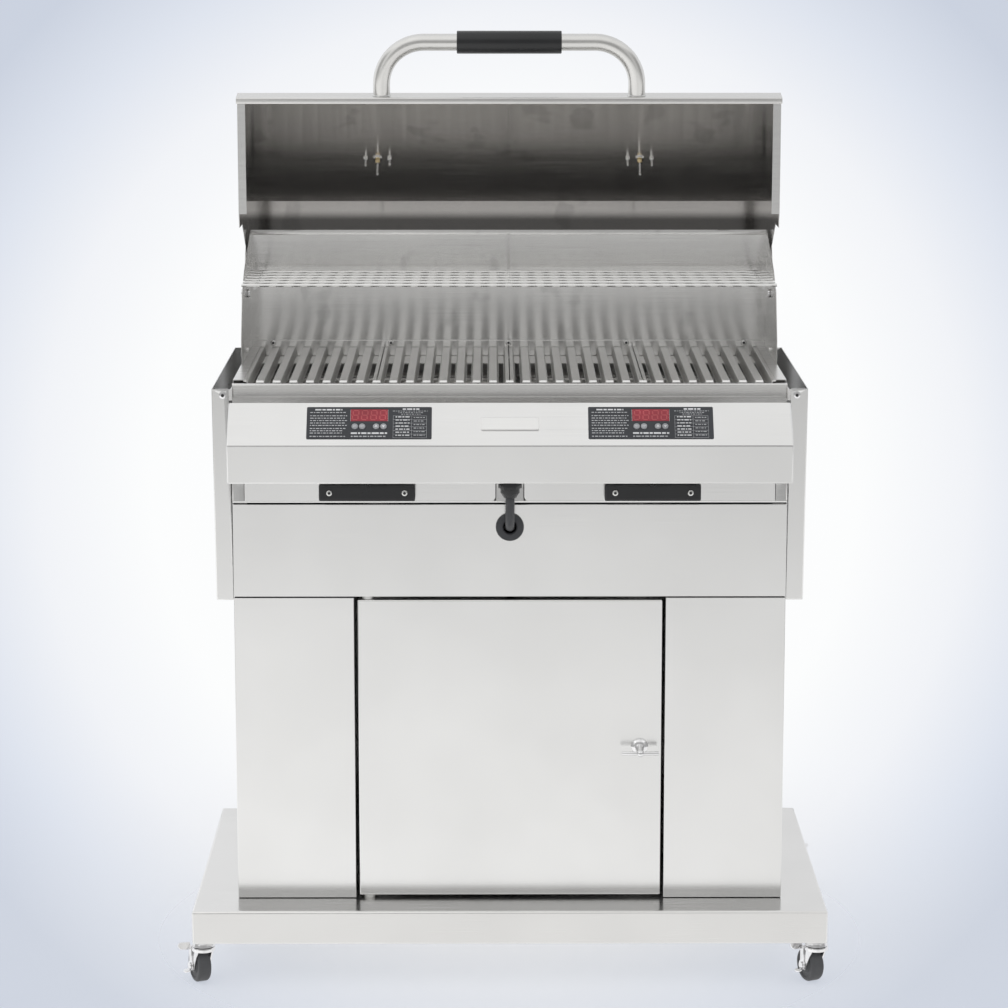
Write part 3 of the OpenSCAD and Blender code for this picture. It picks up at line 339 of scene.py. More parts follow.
def keep_flat(piece):
    """Shades the wide flat faces of a sheet as flat, so that they mirror the room without bends."""
    mesh = open_mesh(piece)
    if pick(mesh, mesh.faces, is_wide):
        bpy.ops.mesh.faces_shade_flat()
    close_mesh()


def raise_foot(piece):
    """Opens a fine joint under a panel's foot."""
    foot = min(v.co.z for v in piece.data.vertices)
    for v in piece.data.vertices:
        if v.co.z < foot + FOOT_FLANGE:
            v.co.z += FOOT_JOINT


def open_seams(piece):
    """Widens the seams between the grates that lie side by side."""
    lo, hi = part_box("cooking_grates")
    each = (hi.x - lo.x) / GRATES
    for v in piece.data.vertices:
        seam = round((v.co.x - lo.x) / each)
        off = v.co.x - lo.x - seam * each
        if abs(off) < SEAM_NEAR and 0 < seam < GRATES:
            v.co.x += math.copysign(SEAM_HALF, off)


def weld(piece):
    """Merges the points that a bevel held back by a short edge leaves on top of each other."""
    open_whole(piece, "VERT")
    bpy.ops.mesh.remove_doubles(threshold=WELD)
    bpy.ops.mesh.dissolve_degenerate(threshold=WELD)
    close_mesh()


def softened(node, finish, fold=0.0, edge=0.0, segments=3, reshape=None):
    """Stands for a part with its bends rounded by fold and its other outer edges by edge, in metres."""
    piece = bare_copy(node)
    if reshape:
        reshape(piece)
    for width, test, steps in ((fold, is_fold, segments), (edge, is_sharp, segments - 1)):
        if width:
            mesh = open_mesh(piece, "EDGE")
            if pick(mesh, mesh.edges, test):
                bevel(width, steps)
            close_mesh()
            weld(piece)
    smooth(piece)
    keep_flat(piece)
    lay_grain(piece)
    return fit(piece, node + "_skin", BODY_OF[node], finish, SLOT_OF[node], node)


def line_with(piece, finish, middle):
    """Gives the faces of a shell that look towards its middle a finish of their own."""
    piece.data.materials.append(finish)
    for face in piece.data.polygons:
        if face.normal.dot(middle - face.center) > 0:
            face.material_index = 1


# Finishes

NOISE_LOW, NOISE_HIGH = 0.3, 0.7
BRUSH_SCALE, CLOUD_SCALE, CLOUD_DETAIL = (6, 1400, 1), (5, 5, 5), 3.0
BRUSH_DEPTH, BRUSH_STRENGTH = 0.05 * MM, 0.08
ROUGH_VARY = 0.15
CROSSWISE = (0.03, 0, 0)
STAIN_SCALE, STAIN_DETAIL, STAIN_EDGE = (16, 16, 11), 2.5, (0.60, 0.66)
# Heights over which the lid lining darkens downwards, and the share of its colour left at the bottom:
# painted shade for the low band of its rear face, which lies in shade behind the riser
LOW_SHADE_BAND, LOW_SHADE_SHARE = (1080 * MM, 1098 * MM), 0.2
MARKS_SCALE, MARKS_DETAIL, MARKS_DARK = (90, 90, 90), 5.0, 0.92
MARKS_DEPTH, MARKS_STRENGTH = 0.05 * MM, 0.05
MOULD_SCALE, MOULD_DETAIL, MOULD_VARY = (25, 25, 25), 3.0, 0.15
MOULD_DEPTH, MOULD_FINE = 0.1 * MM, 2.0


def new_finish(name):
    finish = bpy.data.materials.new(name)
    finish.use_nodes = True
    nodes = finish.node_tree.nodes
    return finish, finish.node_tree, nodes["Principled BSDF"]


def wire(tree, start, end):
    tree.links.new(start, end)


def add_node(tree, kind, **settings):
    node = tree.nodes.new("ShaderNode" + kind)
    for key, value in settings.items():
        setattr(node, key, value)
    return node


def reckoned(tree, first, second, operation="ADD"):
    """What an operation makes of two values, of which either may be a plain number."""
    node = add_node(tree, "Math", operation=operation)
    for socket, value in zip(node.inputs, (first, second)):
        if isinstance(value, (int, float)):
            socket.default_value = value
        else:
            wire(tree, value, socket)
    return node.outputs["Value"]


def mapped(tree, value, start, end, low=0.0, high=1.0, ease="LINEAR"):
    """Maps a value from one range onto another and holds it at the ends."""
    node = add_node(tree, "MapRange", interpolation_type=ease)
    for name, number in zip(("From Min", "From Max", "To Min", "To Max"), (start, end, low, high)):
        node.inputs[name].default_value = number
    wire(tree, value, node.inputs["Value"])
    return node.outputs["Result"]


def grain_noise(tree, scale, detail=4.0, coordinates="UV"):
    """Noise stretched along the brushing, or even in space where it follows the object."""
    where = add_node(tree, "TexCoord")
    mapping = add_node(tree, "Mapping")
    mapping.inputs["Scale"].default_value = scale
    noise = add_node(tree, "TexNoise")
    noise.inputs["Scale"].default_value = 1.0
    noise.inputs["Detail"].default_value = detail
    wire(tree, where.outputs[coordinates], mapping.inputs["Vector"])
    wire(tree, mapping.outputs["Vector"], noise.inputs["Vector"])
    return noise.outputs["Fac"]


def spread(tree, value, low, high):
    """Maps noise about its middle onto a range."""
    return mapped(tree, value, NOISE_LOW, NOISE_HIGH, low, high)


def shade_between(tree, value, dark, light):
    mix = add_node(tree, "Mix", data_type="RGBA")
    mix.inputs["A"].default_value = (*dark, 1)
    mix.inputs["B"].default_value = (*light, 1)
    wire(tree, value, mix.inputs["Factor"])
    return mix.outputs["Result"]


def scaled(colour, share):
    return tuple(min(1.0, c * share) for c in colour)


def darkened(tree, colour, share):
    """A colour times a share that changes over the surface."""
    node = add_node(tree, "VectorMath", operation="SCALE")
    wire(tree, colour, node.inputs[0])
    wire(tree, share, node.inputs["Scale"])
    return node.outputs["Vector"]


def raise_by(tree, shader, value, distance, strength):
    bump = add_node(tree, "Bump")
    bump.inputs["Strength"].default_value = strength
    bump.inputs["Distance"].default_value = distance
    wire(tree, value, bump.inputs["Height"])
    wire(tree, bump.outputs["Normal"], shader.inputs["Normal"])


def level_along(tree):
    """The level direction in a sheet's surface, which the brushing follows; crosswise on level sheets."""
    where = add_node(tree, "TexCoord")
    level = add_node(tree, "VectorMath", operation="CROSS_PRODUCT")
    level.inputs[1].default_value = (0, 0, 1)
    wire(tree, where.outputs["Normal"], level.inputs[0])
    aside = add_node(tree, "VectorMath", operation="ADD")
    aside.inputs[1].default_value = CROSSWISE
    wire(tree, level.outputs["Vector"], aside.inputs[0])
    turned = add_node(tree, "VectorTransform", vector_type="VECTOR", convert_from="OBJECT",
                      convert_to="WORLD")
    wire(tree, aside.outputs["Vector"], turned.inputs["Vector"])
    return turned.outputs["Vector"]


def stained(tree, colour, share):
    """Darkens a colour in a few soft-edged grease marks."""
    spots = grain_noise(tree, STAIN_SCALE, STAIN_DETAIL, "Object")
    left = mapped(tree, spots, *STAIN_EDGE, 1.0, 1.0 - share, "SMOOTHSTEP")
    return darkened(tree, colour, left)


def painted_low_shade(tree, colour, low, high):
    """Darkens a colour below a height: painted shade for a face's low band that lies in shade."""
    where = add_node(tree, "TexCoord")
    apart = add_node(tree, "SeparateXYZ")
    wire(tree, where.outputs["Object"], apart.inputs["Vector"])
    share = mapped(tree, apart.outputs["Z"], low, high, LOW_SHADE_SHARE, 1.0, "SMOOTHSTEP")
    return darkened(tree, colour, share)


def brushed_steel(name, colour, rough, pull=0.6, cloud=0.06, stain=0.0, low_shade=None):
    """Sheet brushed along its grain map, with a slow cloudiness, and maybe with grease marks and painted
    shade low down.
    """
    finish, tree, shader = new_finish(name)
    lines = grain_noise(tree, BRUSH_SCALE)
    slow = grain_noise(tree, CLOUD_SCALE, CLOUD_DETAIL, "Object")
    blend = add_node(tree, "Mix")
    blend.inputs["Factor"].default_value = 0.5
    wire(tree, lines, blend.inputs["A"])
    wire(tree, slow, blend.inputs["B"])
    tone = spread(tree, blend.outputs["Result"], 0.0, 1.0)
    shade = shade_between(tree, tone, scaled(colour, 1 - cloud), scaled(colour, 1 + cloud))
    if stain:
        shade = stained(tree, shade, stain)
    # Painted shade: darker towards the bottom, where a face lies in shade low down
    if low_shade:
        shade = painted_low_shade(tree, shade, *low_shade)
    wire(tree, shade, shader.inputs["Base Color"])
    uneven = spread(tree, lines, rough * (1 - ROUGH_VARY), rough * (1 + ROUGH_VARY))
    wire(tree, uneven, shader.inputs["Roughness"])
    shader.inputs["Metallic"].default_value = 1.0
    shader.inputs["Anisotropic"].default_value = pull
    shader.inputs["Anisotropic Rotation"].default_value = 0.25
    wire(tree, level_along(tree), shader.inputs["Tangent"])
    raise_by(tree, shader, lines, BRUSH_DEPTH, BRUSH_STRENGTH)
    return finish


def plated(name, colour, rough):
    """Bright plating with faint waviness and handling marks."""
    finish, tree, shader = new_finish(name)
    marks = grain_noise(tree, MARKS_SCALE, MARKS_DETAIL, "Object")
    shade = shade_between(tree, spread(tree, marks, 0, 1), scaled(colour, MARKS_DARK), colour)
    wire(tree, shade, shader.inputs["Base Color"])
    wire(tree, spread(tree, marks, rough * 0.7, rough * 1.5), shader.inputs["Roughness"])
    shader.inputs["Metallic"].default_value = 1.0
    raise_by(tree, shader, marks, MARKS_DEPTH, MARKS_STRENGTH)
    return finish


def moulded(name, colour, rough, grain=900, relief=0.06):
    """Moulded plastic or rubber with a fine even texture."""
    finish, tree, shader = new_finish(name)
    fine = grain_noise(tree, (grain, grain, grain), MOULD_FINE, "Object")
    slow = grain_noise(tree, MOULD_SCALE, MOULD_DETAIL, "Object")
    less, more = 1 - MOULD_VARY, 1 + MOULD_VARY
    shade = shade_between(tree, spread(tree, slow, 0, 1), scaled(colour, less), scaled(colour, more))
    wire(tree, shade, shader.inputs["Base Color"])
    wire(tree, spread(tree, slow, rough * less, rough * more), shader.inputs["Roughness"])
    raise_by(tree, shader, fine, MOULD_DEPTH, relief)
    return finish


def clear_glass(name):
    finish, _, shader = new_finish(name)
    shader.inputs["Base Color"].default_value = (1, 1, 1, 1)
    shader.inputs["Roughness"].default_value = 0.02
    shader.inputs["Transmission Weight"].default_value = 1.0
    return finish


PANEL = brushed_steel("panel steel", (0.85, 0.85, 0.845), 0.18)
CONTROL = brushed_steel("control box steel", (0.77, 0.77, 0.765), 0.18)
RAIL = brushed_steel("rail steel", (0.70, 0.695, 0.685), 0.25)
BASE = brushed_steel("base steel", (0.81, 0.805, 0.795), 0.24)
INNER = brushed_steel("inner steel", (0.82, 0.815, 0.805), 0.16, 0.97, 0.1, stain=0.14)
COVER = brushed_steel("lid steel", (0.72, 0.715, 0.705), 0.25)
# The lid lining is darker towards the bottom of its rear face: painted shade for where it lies in shade
# behind the riser
LID = brushed_steel("lid lining steel", (0.66, 0.64, 0.62), 0.185, 1.0, 0.1, stain=0.14, low_shade=LOW_SHADE_BAND)
FIREBOX = brushed_steel("firebox steel", (0.80, 0.795, 0.785), 0.3, 0.4, 0.1)
WALL = brushed_steel("side wall steel", (0.58, 0.575, 0.565), 0.24, 0.9, 0.1, stain=0.1)
GRATE = brushed_steel("grate steel", (0.80, 0.795, 0.78), 0.36, 0.3, 0.1)
TUBE = brushed_steel("handle tube steel", (0.72, 0.715, 0.70), 0.24, 0.5)
PLATE = brushed_steel("plate steel", (0.84, 0.84, 0.83), 0.4, 0.3)
SHEATH = brushed_steel("element sheath", (0.84, 0.825, 0.80), 0.4, 0.2, 0.1)
CHROME = plated("plating", (0.86, 0.86, 0.87), 0.07)
ROD = plated("rack plating", (0.92, 0.92, 0.91), 0.06)
SCREW = plated("screw steel", (0.72, 0.72, 0.71), 0.2)
BRASS = plated("brass", (0.74, 0.60, 0.36), 0.24)
BLACK = moulded("black moulding", (0.011, 0.0115, 0.013), 0.3)
RUBBER = moulded("cord rubber", (0.045, 0.047, 0.052), 0.5, 600, 0.1)
TYRE = moulded("wheel rubber", (0.075, 0.077, 0.082), 0.55, 500, 0.12)
NYLON = moulded("white nylon", (0.80, 0.80, 0.78), 0.4)
FILM = moulded("overlay film", (0.030, 0.033, 0.040), 0.34, 1500, 0.03)
WINDOW = moulded("red window", (0.34, 0.028, 0.046), 0.22, 1500, 0.02)
KEY = moulded("button grey", (0.36, 0.37, 0.39), 0.42)
PRINT = moulded("pale print", (0.55, 0.56, 0.58), 0.5)
PRINT_BOLD = moulded("white print", (0.78, 0.79, 0.81), 0.5)
DIGIT = moulded("unlit digits", (0.48, 0.075, 0.09), 0.25)
DIAL = moulded("dial enamel", (0.82, 0.82, 0.80), 0.3)
# Black of the dial's print and needle boss, and of the discs of painted shade in screw sockets
INK_AND_SHADE = moulded("dial ink and socket shade", (0.02, 0.02, 0.022), 0.5)
NEEDLE = moulded("needle paint", (0.45, 0.03, 0.025), 0.35)
GLASS = clear_glass("dial glass")


# Camera

EYE = Vector((-0.0248, -4.9476, 1.5861))
PITCH, YAW = math.radians(10.455), math.radians(0.197)
FOCUS_PX, FRAME_PX = 3303, 1008
SENSOR_MM = 36


def place_camera():
    bpy.ops.object.camera_add(location=EYE, rotation=(math.pi / 2 - PITCH, 0, -YAW))
    camera = bpy.context.object
    camera.data.sensor_width = SENSOR_MM
    camera.data.lens = FOCUS_PX / FRAME_PX * SENSOR_MM
    bpy.context.scene.camera = camera


place_camera()


# Mains cord

CORD_D = 13 * MM
CORD_ROUTE_MM = [
    (0, -264, 731), (0, -264, 727), (0, -262, 718), (0, -257, 705), (0, -249, 694), (0, -238, 686),
    (0, -225, 681), (0, -212, 679), (0, -196, 678), (0, -176, 674), (0, -152, 663), (0, -127, 642),
    (0, -107, 610), (0, -98, 571),
    (0, -98, 530), (0, -98, 490), (0, -98, 450), (0, -98, 410), (0, -98, 370), (0, -98, 330),
    (0, -98, 290), (0, -98, 250), (0, -98, 210), (0, -98, 174), (0, -94, 154.5), (0, -83, 138),
    (0, -66, 126.5), (0, -54, 123), (0, -48, 122.5), (0, -44, 122.5)]
COIL_R, COIL_PITCH, COIL_TURNS, COIL_STEPS = 57, 22, 2, 24
COIL_LEAD_IN, COIL_LEAD, PLUG_RISE = 4, 35, 7.5
# The coil rises to the plug over the last part of its last turn
RISE_PARTS = 4
PLUG_EDGE = 0.8 * MM


def eased(x):
    s = max(0.0, min(1.0, x))
    return s * s * (3 - 2 * s)


def cord_points():
    """The route from the gland through the grommet to the cabinet's floor, then the coil and its lead."""
    end = CORD_ROUTE_MM[-1]
    centre = (end[0] - COIL_R, end[1] + COIL_LEAD_IN)
    points = list(CORD_ROUTE_MM)
    for i in range(COIL_STEPS * COIL_TURNS + 1):
        turn = i / COIL_STEPS
        r = COIL_R + COIL_PITCH * turn
        lift = PLUG_RISE * eased((turn - COIL_TURNS) * RISE_PARTS + 1)
        a = 2 * math.pi * turn
        points.append((centre[0] + r * math.cos(a), centre[1] + r * math.sin(a), end[2] + lift))
    last = points[-1]
    points.append((last[0], centre[1] + COIL_LEAD, last[2]))
    return [Vector(p) * MM for p in points]


def make_cord():
    points = cord_points()
    cord = round_curve("mains_cord", CORD_D / 2, 5)
    line = cord.data.splines.new("BEZIER")
    line.resolution_u = 4
    line.bezier_points.add(len(points) - 1)
    for knot, p in zip(line.bezier_points, points):
        knot.co = p
        knot.handle_left_type = knot.handle_right_type = "AUTO"
    fit(cord, "mains_cord", "root", RUBBER, "cord_rubber", "power_cord", "cord_coil")
    plug = softened("power_plug", RUBBER, edge=PLUG_EDGE)


make_cord()


# Cart

# Rounding of the bends and of the cut edges, by the piece
SHEET_FOLD, DOOR_FOLD, HEAVY_FOLD = 1.6 * MM, 1.8 * MM, 2.0 * MM
SHEET_EDGE, HEAVY_EDGE, FITTING_EDGE, CASTER_EDGE = 0.3 * MM, 0.4 * MM, 0.5 * MM, 0.6 * MM
GLAND_EDGE, GRIP_EDGE = 0.8 * MM, 1.2 * MM


def make_cart():
    softened("base_pan", BASE, fold=HEAVY_FOLD, edge=HEAVY_EDGE)
    for node in ("cabinet_left", "cabinet_right"):
        softened(node, PANEL, fold=SHEET_FOLD, edge=SHEET_EDGE, reshape=raise_foot)
    softened("cabinet_back", PANEL, edge=SHEET_EDGE)
    softened("front_apron", PANEL, fold=SHEET_FOLD, edge=SHEET_EDGE)
    softened("cabinet_door", PANEL, fold=DOOR_FOLD, edge=SHEET_EDGE)
    for node in ("door_pins", "latch_cam", "caster_mounts", "pivot_bolts"):
        softened(node, CHROME, edge=FITTING_EDGE)
    softened("door_bushes", NYLON, edge=FITTING_EDGE)
    softened("latch_escutcheon", CHROME, edge=FITTING_EDGE)
    softened("latch_handle", CHROME, edge=GRIP_EDGE)
    softened("cord_grommet", RUBBER, edge=CASTER_EDGE)
    softened("cord_gland", BLACK, edge=GLAND_EDGE)
    for at in ("fl", "fr", "rl", "rr"):
        softened("caster_fork_" + at, CHROME, edge=CASTER_EDGE)
        softened("caster_wheel_" + at, TYRE, edge=FITTING_EDGE)
        softened("caster_brake_" + at, CHROME, edge=CASTER_EDGE)


# Grill head and lid

LID_MIDDLE = mm(0, 60, 1010)
FIREBOX_FOLD, RIDGE_FOLD = 1.2 * MM, 1.4 * MM
FILM_EDGE, TRAY_HANDLE_EDGE = 0.25 * MM, 2.4 * MM
BUTTONS = 4


def make_head():
    softened("firebox_shell", FIREBOX, fold=FIREBOX_FOLD, edge=SHEET_EDGE)
    softened("tray_bay", PANEL, edge=SHEET_EDGE)
    softened("heating_elements", SHEATH)
    softened("front_rail", RAIL, edge=SHEET_EDGE)
    softened("control_box", CONTROL, fold=HEAVY_FOLD, edge=SHEET_EDGE)
    softened("overlays", FILM, edge=FILM_EDGE)
    softened("displays", WINDOW, edge=FILM_EDGE)
    for _, word in SIDES:
        for k in range(1, BUTTONS + 1):
            softened(f"{word}_button_{k}", KEY, edge=FITTING_EDGE)
        softened(word + "_tray", PANEL, edge=HEAVY_EDGE)
        softened(word + "_tray_handle", BLACK, edge=TRAY_HANDLE_EDGE, segments=4)
        softened(word + "_shelf", PANEL, fold=SHEET_FOLD, edge=SHEET_EDGE)
    softened("cooking_grates", GRATE, fold=RIDGE_FOLD, reshape=open_seams)
    softened("warming_rack", ROD)
    riser = softened("riser_back", PANEL, edge=SHEET_EDGE)
    line_with(riser, INNER, LID_MIDDLE)
    softened("riser_sides", WALL, edge=SHEET_EDGE)


def make_lid():
    shell = softened("lid_shell", COVER, fold=HEAVY_FOLD, edge=SHEET_EDGE)
    line_with(shell, LID, LID_MIDDLE)
    softened("lid_ends", PANEL, edge=SHEET_EDGE)
    softened("lid_grip", BLACK, edge=GRIP_EDGE)


# Control panel

SLOPE_RUN, SLOPE_RISE = 48.5 * MM, 55 * MM
PANEL_LO, PANEL_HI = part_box("control_box")
SLOPE = (Matrix.Translation((0, PANEL_LO.y, PANEL_HI.z - SLOPE_RISE))
         @ Matrix.Rotation(math.atan2(SLOPE_RISE, SLOPE_RUN), 4, "X"))
SLOPE_L = math.hypot(SLOPE_RUN, SLOPE_RISE)
OVERLAY_X, OVERLAY_UP, FILM_T = 202.5 * MM, SLOPE_L / 2 + 1.5 * MM, 1.0 * MM
DIGITS, DISPLAY_UP, DIGIT_STEP, DIGIT_LEAN = 4, 13 * MM, 13.1 * MM, 0.13
DIGIT_H, DIGIT_W, DIGIT_BAR, DIGIT_T = 15.5 * MM, 8.0 * MM, 1.8 * MM, 0.1 * MM
BAR_GAP, BAR_CORNER = 0.7, 0.45
BUTTON_UP, BUTTON_XS = -6.5 * MM, (-20.6 * MM, -10 * MM, 10 * MM, 20.6 * MM)
BUTTON_OUT = 2.6 * MM


def on_overlay(side, x, up, out):
    """The place of a piece drawn flat about the origin, on the overlay of one side."""
    return SLOPE @ Matrix.Translation((side * OVERLAY_X + x, OVERLAY_UP + up, out))


def digit_segments():
    """The seven bars of one digit as (x, up, level or not)."""
    half = DIGIT_H / 2
    level = [(0, u, True) for u in (-half, 0, half)]
    upright = [(x * DIGIT_W / 2, u * half / 2, False) for x in BOTH for u in BOTH]
    return level + upright


def digit_bar(level):
    """One bar of a digit, level or upright."""
    long = (DIGIT_W if level else DIGIT_H / 2) - DIGIT_BAR * BAR_GAP
    width, height = (long, DIGIT_BAR) if level else (DIGIT_BAR, long)
    return slab(width, height, DIGIT_T, DIGIT_BAR * BAR_CORNER, 2)


def make_digits():
    """Four unlit digits behind each window."""
    for side, word in SIDES:
        bars = []
        for k in range(DIGITS):
            middle = (k - (DIGITS - 1) / 2) * DIGIT_STEP
            for x, up, level in digit_segments():
                bar = digit_bar(level)
                bar.data.transform(on_overlay(side, middle + x + up * DIGIT_LEAN, DISPLAY_UP + up, FILM_T))
                bars.append(bar)
        fit(join(bars), "digits_" + word, "root", DIGIT, "display_red")


# Printed rows of each overlay, as (left, right, up, height), in millimetres from its middle
BODY_ROWS = ([(-85, -34, 17.6, 1.3)]
             + [(-85, -32 - k % 2 * 3, 12 - 4.1 * k, 1.3) for k in range(5)]
             + [(-85, -34 - k * 2, -9.6 - 3.9 * k, 1.3) for k in range(3)]
             + [(-85, -34, -23, 1.4)]
             + [(34, 86, 20, 0.9), (42, 78, 17.2, 0.9), (46, 74, 14.6, 0.9)]
             + [(64, 80, 9 - 6 * k, 1.2) for k in range(6)]
             + [(-26, 26, -23, 1.7)])
BOLD_ROWS = ([(-78, -39, 22.3, 2.3), (48, 72, 23.3, 2.3), (-26, 26, -17.6, 2.7)]
             + [(38, 58, 10 - 5.2 * k, 1.7) for k in range(7)])
RULE_W = 0.3
RULES = ([(34.5, 82.5, 11.8 - 6.2 * k, RULE_W) for k in range(7)]
         + [(x - RULE_W / 2, x + RULE_W / 2, -6.7, 37.2) for x in (34.5, 61, 82.5)])
# Lengths of the dashes that stand for words, at a height of WORD_H
WORDS = (4.4, 2.6, 6.1, 3.3, 5.2, 1.9)
WORD_H, WORD_GAP, WORD_LEAST = 1.6, 1.5, 1
BOLD_START = 2
PRINT_T = 0.06 * MM


def words_in(row, start):
    """Splits a printed row into plain dashes of word length."""
    left, right, up, height = row
    x, k = left, start
    while x < right - WORD_LEAST:
        end = min(right, x + WORDS[k % len(WORDS)] * height / WORD_H)
        yield x, end, up, height
        x, k = end + WORD_GAP, k + 1


def print_marks(name, side, marks, finish):
    dashes = []
    for left, right, up, height in marks:
        dash = slab((right - left) * MM, height * MM, PRINT_T)
        dash.data.transform(on_overlay(side, (left + right) / 2 * MM, up * MM, FILM_T))
        dashes.append(dash)
    fit(join(dashes), name, "root", finish, "overlay_black")


def make_prints():
    """Plain dashes and rules in the places of the printed rows."""
    body = [w for k, row in enumerate(BODY_ROWS) for w in words_in(row, k)]
    bold = [w for k, row in enumerate(BOLD_ROWS, BOLD_START) for w in words_in(row, k)]
    for side, word in SIDES:
        print_marks("print_" + word, side, body + RULES, PRINT)
        print_marks("print_bold_" + word, side, bold, PRINT_BOLD)


KEY_KINDS = ("ON", "OFF", "up", "down")
KEY_ARROW_R, KEY_LETTER = 2.6 * MM, 3.1 * MM


def key_mark(kind):
    """A triangle or a short word for the top of a button."""
    if kind in ("up", "down"):
        clear_selection()
        bpy.ops.mesh.primitive_cylinder_add(vertices=3, radius=KEY_ARROW_R, depth=LETTER_T)
        mark = bpy.context.object
        mark.rotation_euler.z = math.pi if kind == "down" else 0
    else:
        mark = lettering(kind, KEY_LETTER)
    settle(mark)
    return mark


def make_key_marks():
    for side, word in SIDES:
        for k, (x, kind) in enumerate(zip(BUTTON_XS, KEY_KINDS), 1):
            mark = key_mark(kind)
            mark.data.transform(on_overlay(side, x, BUTTON_UP, BUTTON_OUT))
            fit(mark, f"{word}_key_mark_{k}", f"key_{word}_button_{k}", PRINT_BOLD, "button_grey")


BADGE_W, BADGE_H, BADGE_T, BADGE_DROP = 83 * MM, 21 * MM, 2.2 * MM, 2.1 * MM
BADGE_CORNER, BADGE_EDGE = 1.6 * MM, 0.7 * MM


def make_badge_plate():
    """The bare plate between the overlays."""
    plate = slab(BADGE_W, BADGE_H, BADGE_T, BADGE_CORNER)
    mesh = open_mesh(plate, "EDGE")
    pick(mesh, mesh.edges, lambda e: all(v.co.z > BADGE_T / 2 for v in e.verts))
    bevel(BADGE_EDGE, 2)
    close_mesh()
    plate.data.transform(SLOPE @ Matrix.Translation((0, OVERLAY_UP - BADGE_DROP, 0)))
    smooth(plate)
    keep_flat(plate)
    lay_grain(plate)
    fit(plate, "badge_plate", "root", PLATE, "stainless_panel")


# Screws

# Thickness of the dark discs of painted shade in screw sockets, and how far the shelf bolts' discs stand in
# front of them
SOCKET_SHADE_T, SOCKET_SHADE_PROUD = 0.12 * MM, 0.05 * MM
TRAY_SCREW_X, TRAY_SCREW_D, TRAY_SCREW_HEAD = 54.6 * MM, 8.8 * MM, 2.4 * MM
RISER_BOLT_XS, RISER_BOLT_UP = (-368, -184, 0, 184, 368), 6.6 * MM
RISER_BOLT_D, RISER_BOLT_HEAD, RISER_T = 9 * MM, 3.2 * MM, 1.2 * MM
WALL_BOLT_Y, WALL_BOLT_UP = 73 * MM, 10 * MM
SHELF_PIN_X, SHELF_PIN_Z, SHELF_PIN_D = 416.6 * MM, 871.8 * MM, 10 * MM
BOX_SCREW_IN, BOX_SCREW_UP, BOX_SCREW_D, BOX_SCREW_HEAD = 30 * MM, 26 * MM, 7 * MM, 1.6 * MM
FORWARD = (0, -1, 0)


def add_screws(name, body, d, head, places):
    """Button-head screws at places given as (point, direction), with a dark disc of painted shade at the
    floor of each socket.
    """
    fit(set_of(socket_screw(d, head), places), name, body, SCREW, "chrome")
    floor = head * (1 - SOCKET_DEPTH)
    add_socket_shade(name + "_socket_shade", body, d, [(at + Vector(out) * floor, out) for at, out in places])


def add_socket_shade(name, body, d, places):
    # A dark disc of painted shade for the hollow of each socket
    socket = round_bar(d * SOCKET_SHADE_R, SOCKET_SHADE_T, 6)
    fit(set_of(socket, places), name, body, INK_AND_SHADE, "black_plastic")


def make_screws():
    for _, word in SIDES:
        lo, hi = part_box(word + "_tray_handle")
        mid = (lo + hi) / 2
        places = [(Vector((mid.x + s * TRAY_SCREW_X, lo.y, mid.z)), FORWARD) for s in BOTH]
        add_screws(word + "_tray_screws", "tray_" + word, TRAY_SCREW_D, TRAY_SCREW_HEAD, places)
    riser_lo, riser_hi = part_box("riser_back")
    deck_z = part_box("cooking_grates")[1].z
    strip = [(Vector((x * MM, riser_lo.y, deck_z + RISER_BOLT_UP)), FORWARD) for x in RISER_BOLT_XS]
    wall_x = riser_hi.x - RISER_T
    walls = [(Vector((s * wall_x, WALL_BOLT_Y, deck_z + WALL_BOLT_UP)), (-s, 0, 0)) for s in BOTH]
    add_screws("riser_bolts", "root", RISER_BOLT_D, RISER_BOLT_HEAD, strip + walls)
    pin_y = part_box("pivot_bolts")[0].y - SOCKET_SHADE_PROUD
    fronts = [(Vector((s * SHELF_PIN_X, pin_y, SHELF_PIN_Z)), FORWARD) for s in BOTH]
    # Dark discs of painted shade on the shelf bolts, for the shade in their sockets
    add_socket_shade("shelf_bolt_socket_shade", "root", SHELF_PIN_D, fronts)
    box_y, box_z = PANEL_LO.y + BOX_SCREW_IN, PANEL_LO.z + BOX_SCREW_UP
    ends = [(Vector((s * PANEL_HI.x, box_y, box_z)), (s, 0, 0)) for s in BOTH]
    add_screws("control_box_screws", "root", BOX_SCREW_D, BOX_SCREW_HEAD, ends)


# Grate ridges

RIDGES, RIDGE_W = 32, 10.6 * MM
RIDGE_END_L, RIDGE_END_T, RIDGE_END_CORNER = 3.6 * MM, 1.0 * MM, 1.0 * MM
RIDGE_END_OUT, RIDGE_END_DROP, RIDGE_END_LEAN = 0.5 * MM, 1.7 * MM, math.radians(48)


def make_ridge_ends():
    """The turned-down front end of every ridge of the grates."""
    lo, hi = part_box("cooking_grates")
    pitch = (hi.x - lo.x) / RIDGES
    lean = Matrix.Rotation(RIDGE_END_LEAN, 4, "X")
    tabs = []
    for k in range(1, RIDGES):
        tab = slab(RIDGE_W, RIDGE_END_L, RIDGE_END_T, RIDGE_END_CORNER, 3)
        place = Matrix.Translation((lo.x + k * pitch, lo.y - RIDGE_END_OUT, hi.z - RIDGE_END_DROP))
        tab.data.transform(place @ lean)
        tabs.append(tab)
    ends = join(tabs)
    smooth(ends)
    lay_grain(ends)
    fit(ends, "grate_ridge_ends", "root", PLATE, "stainless_inner")


# Lid fittings

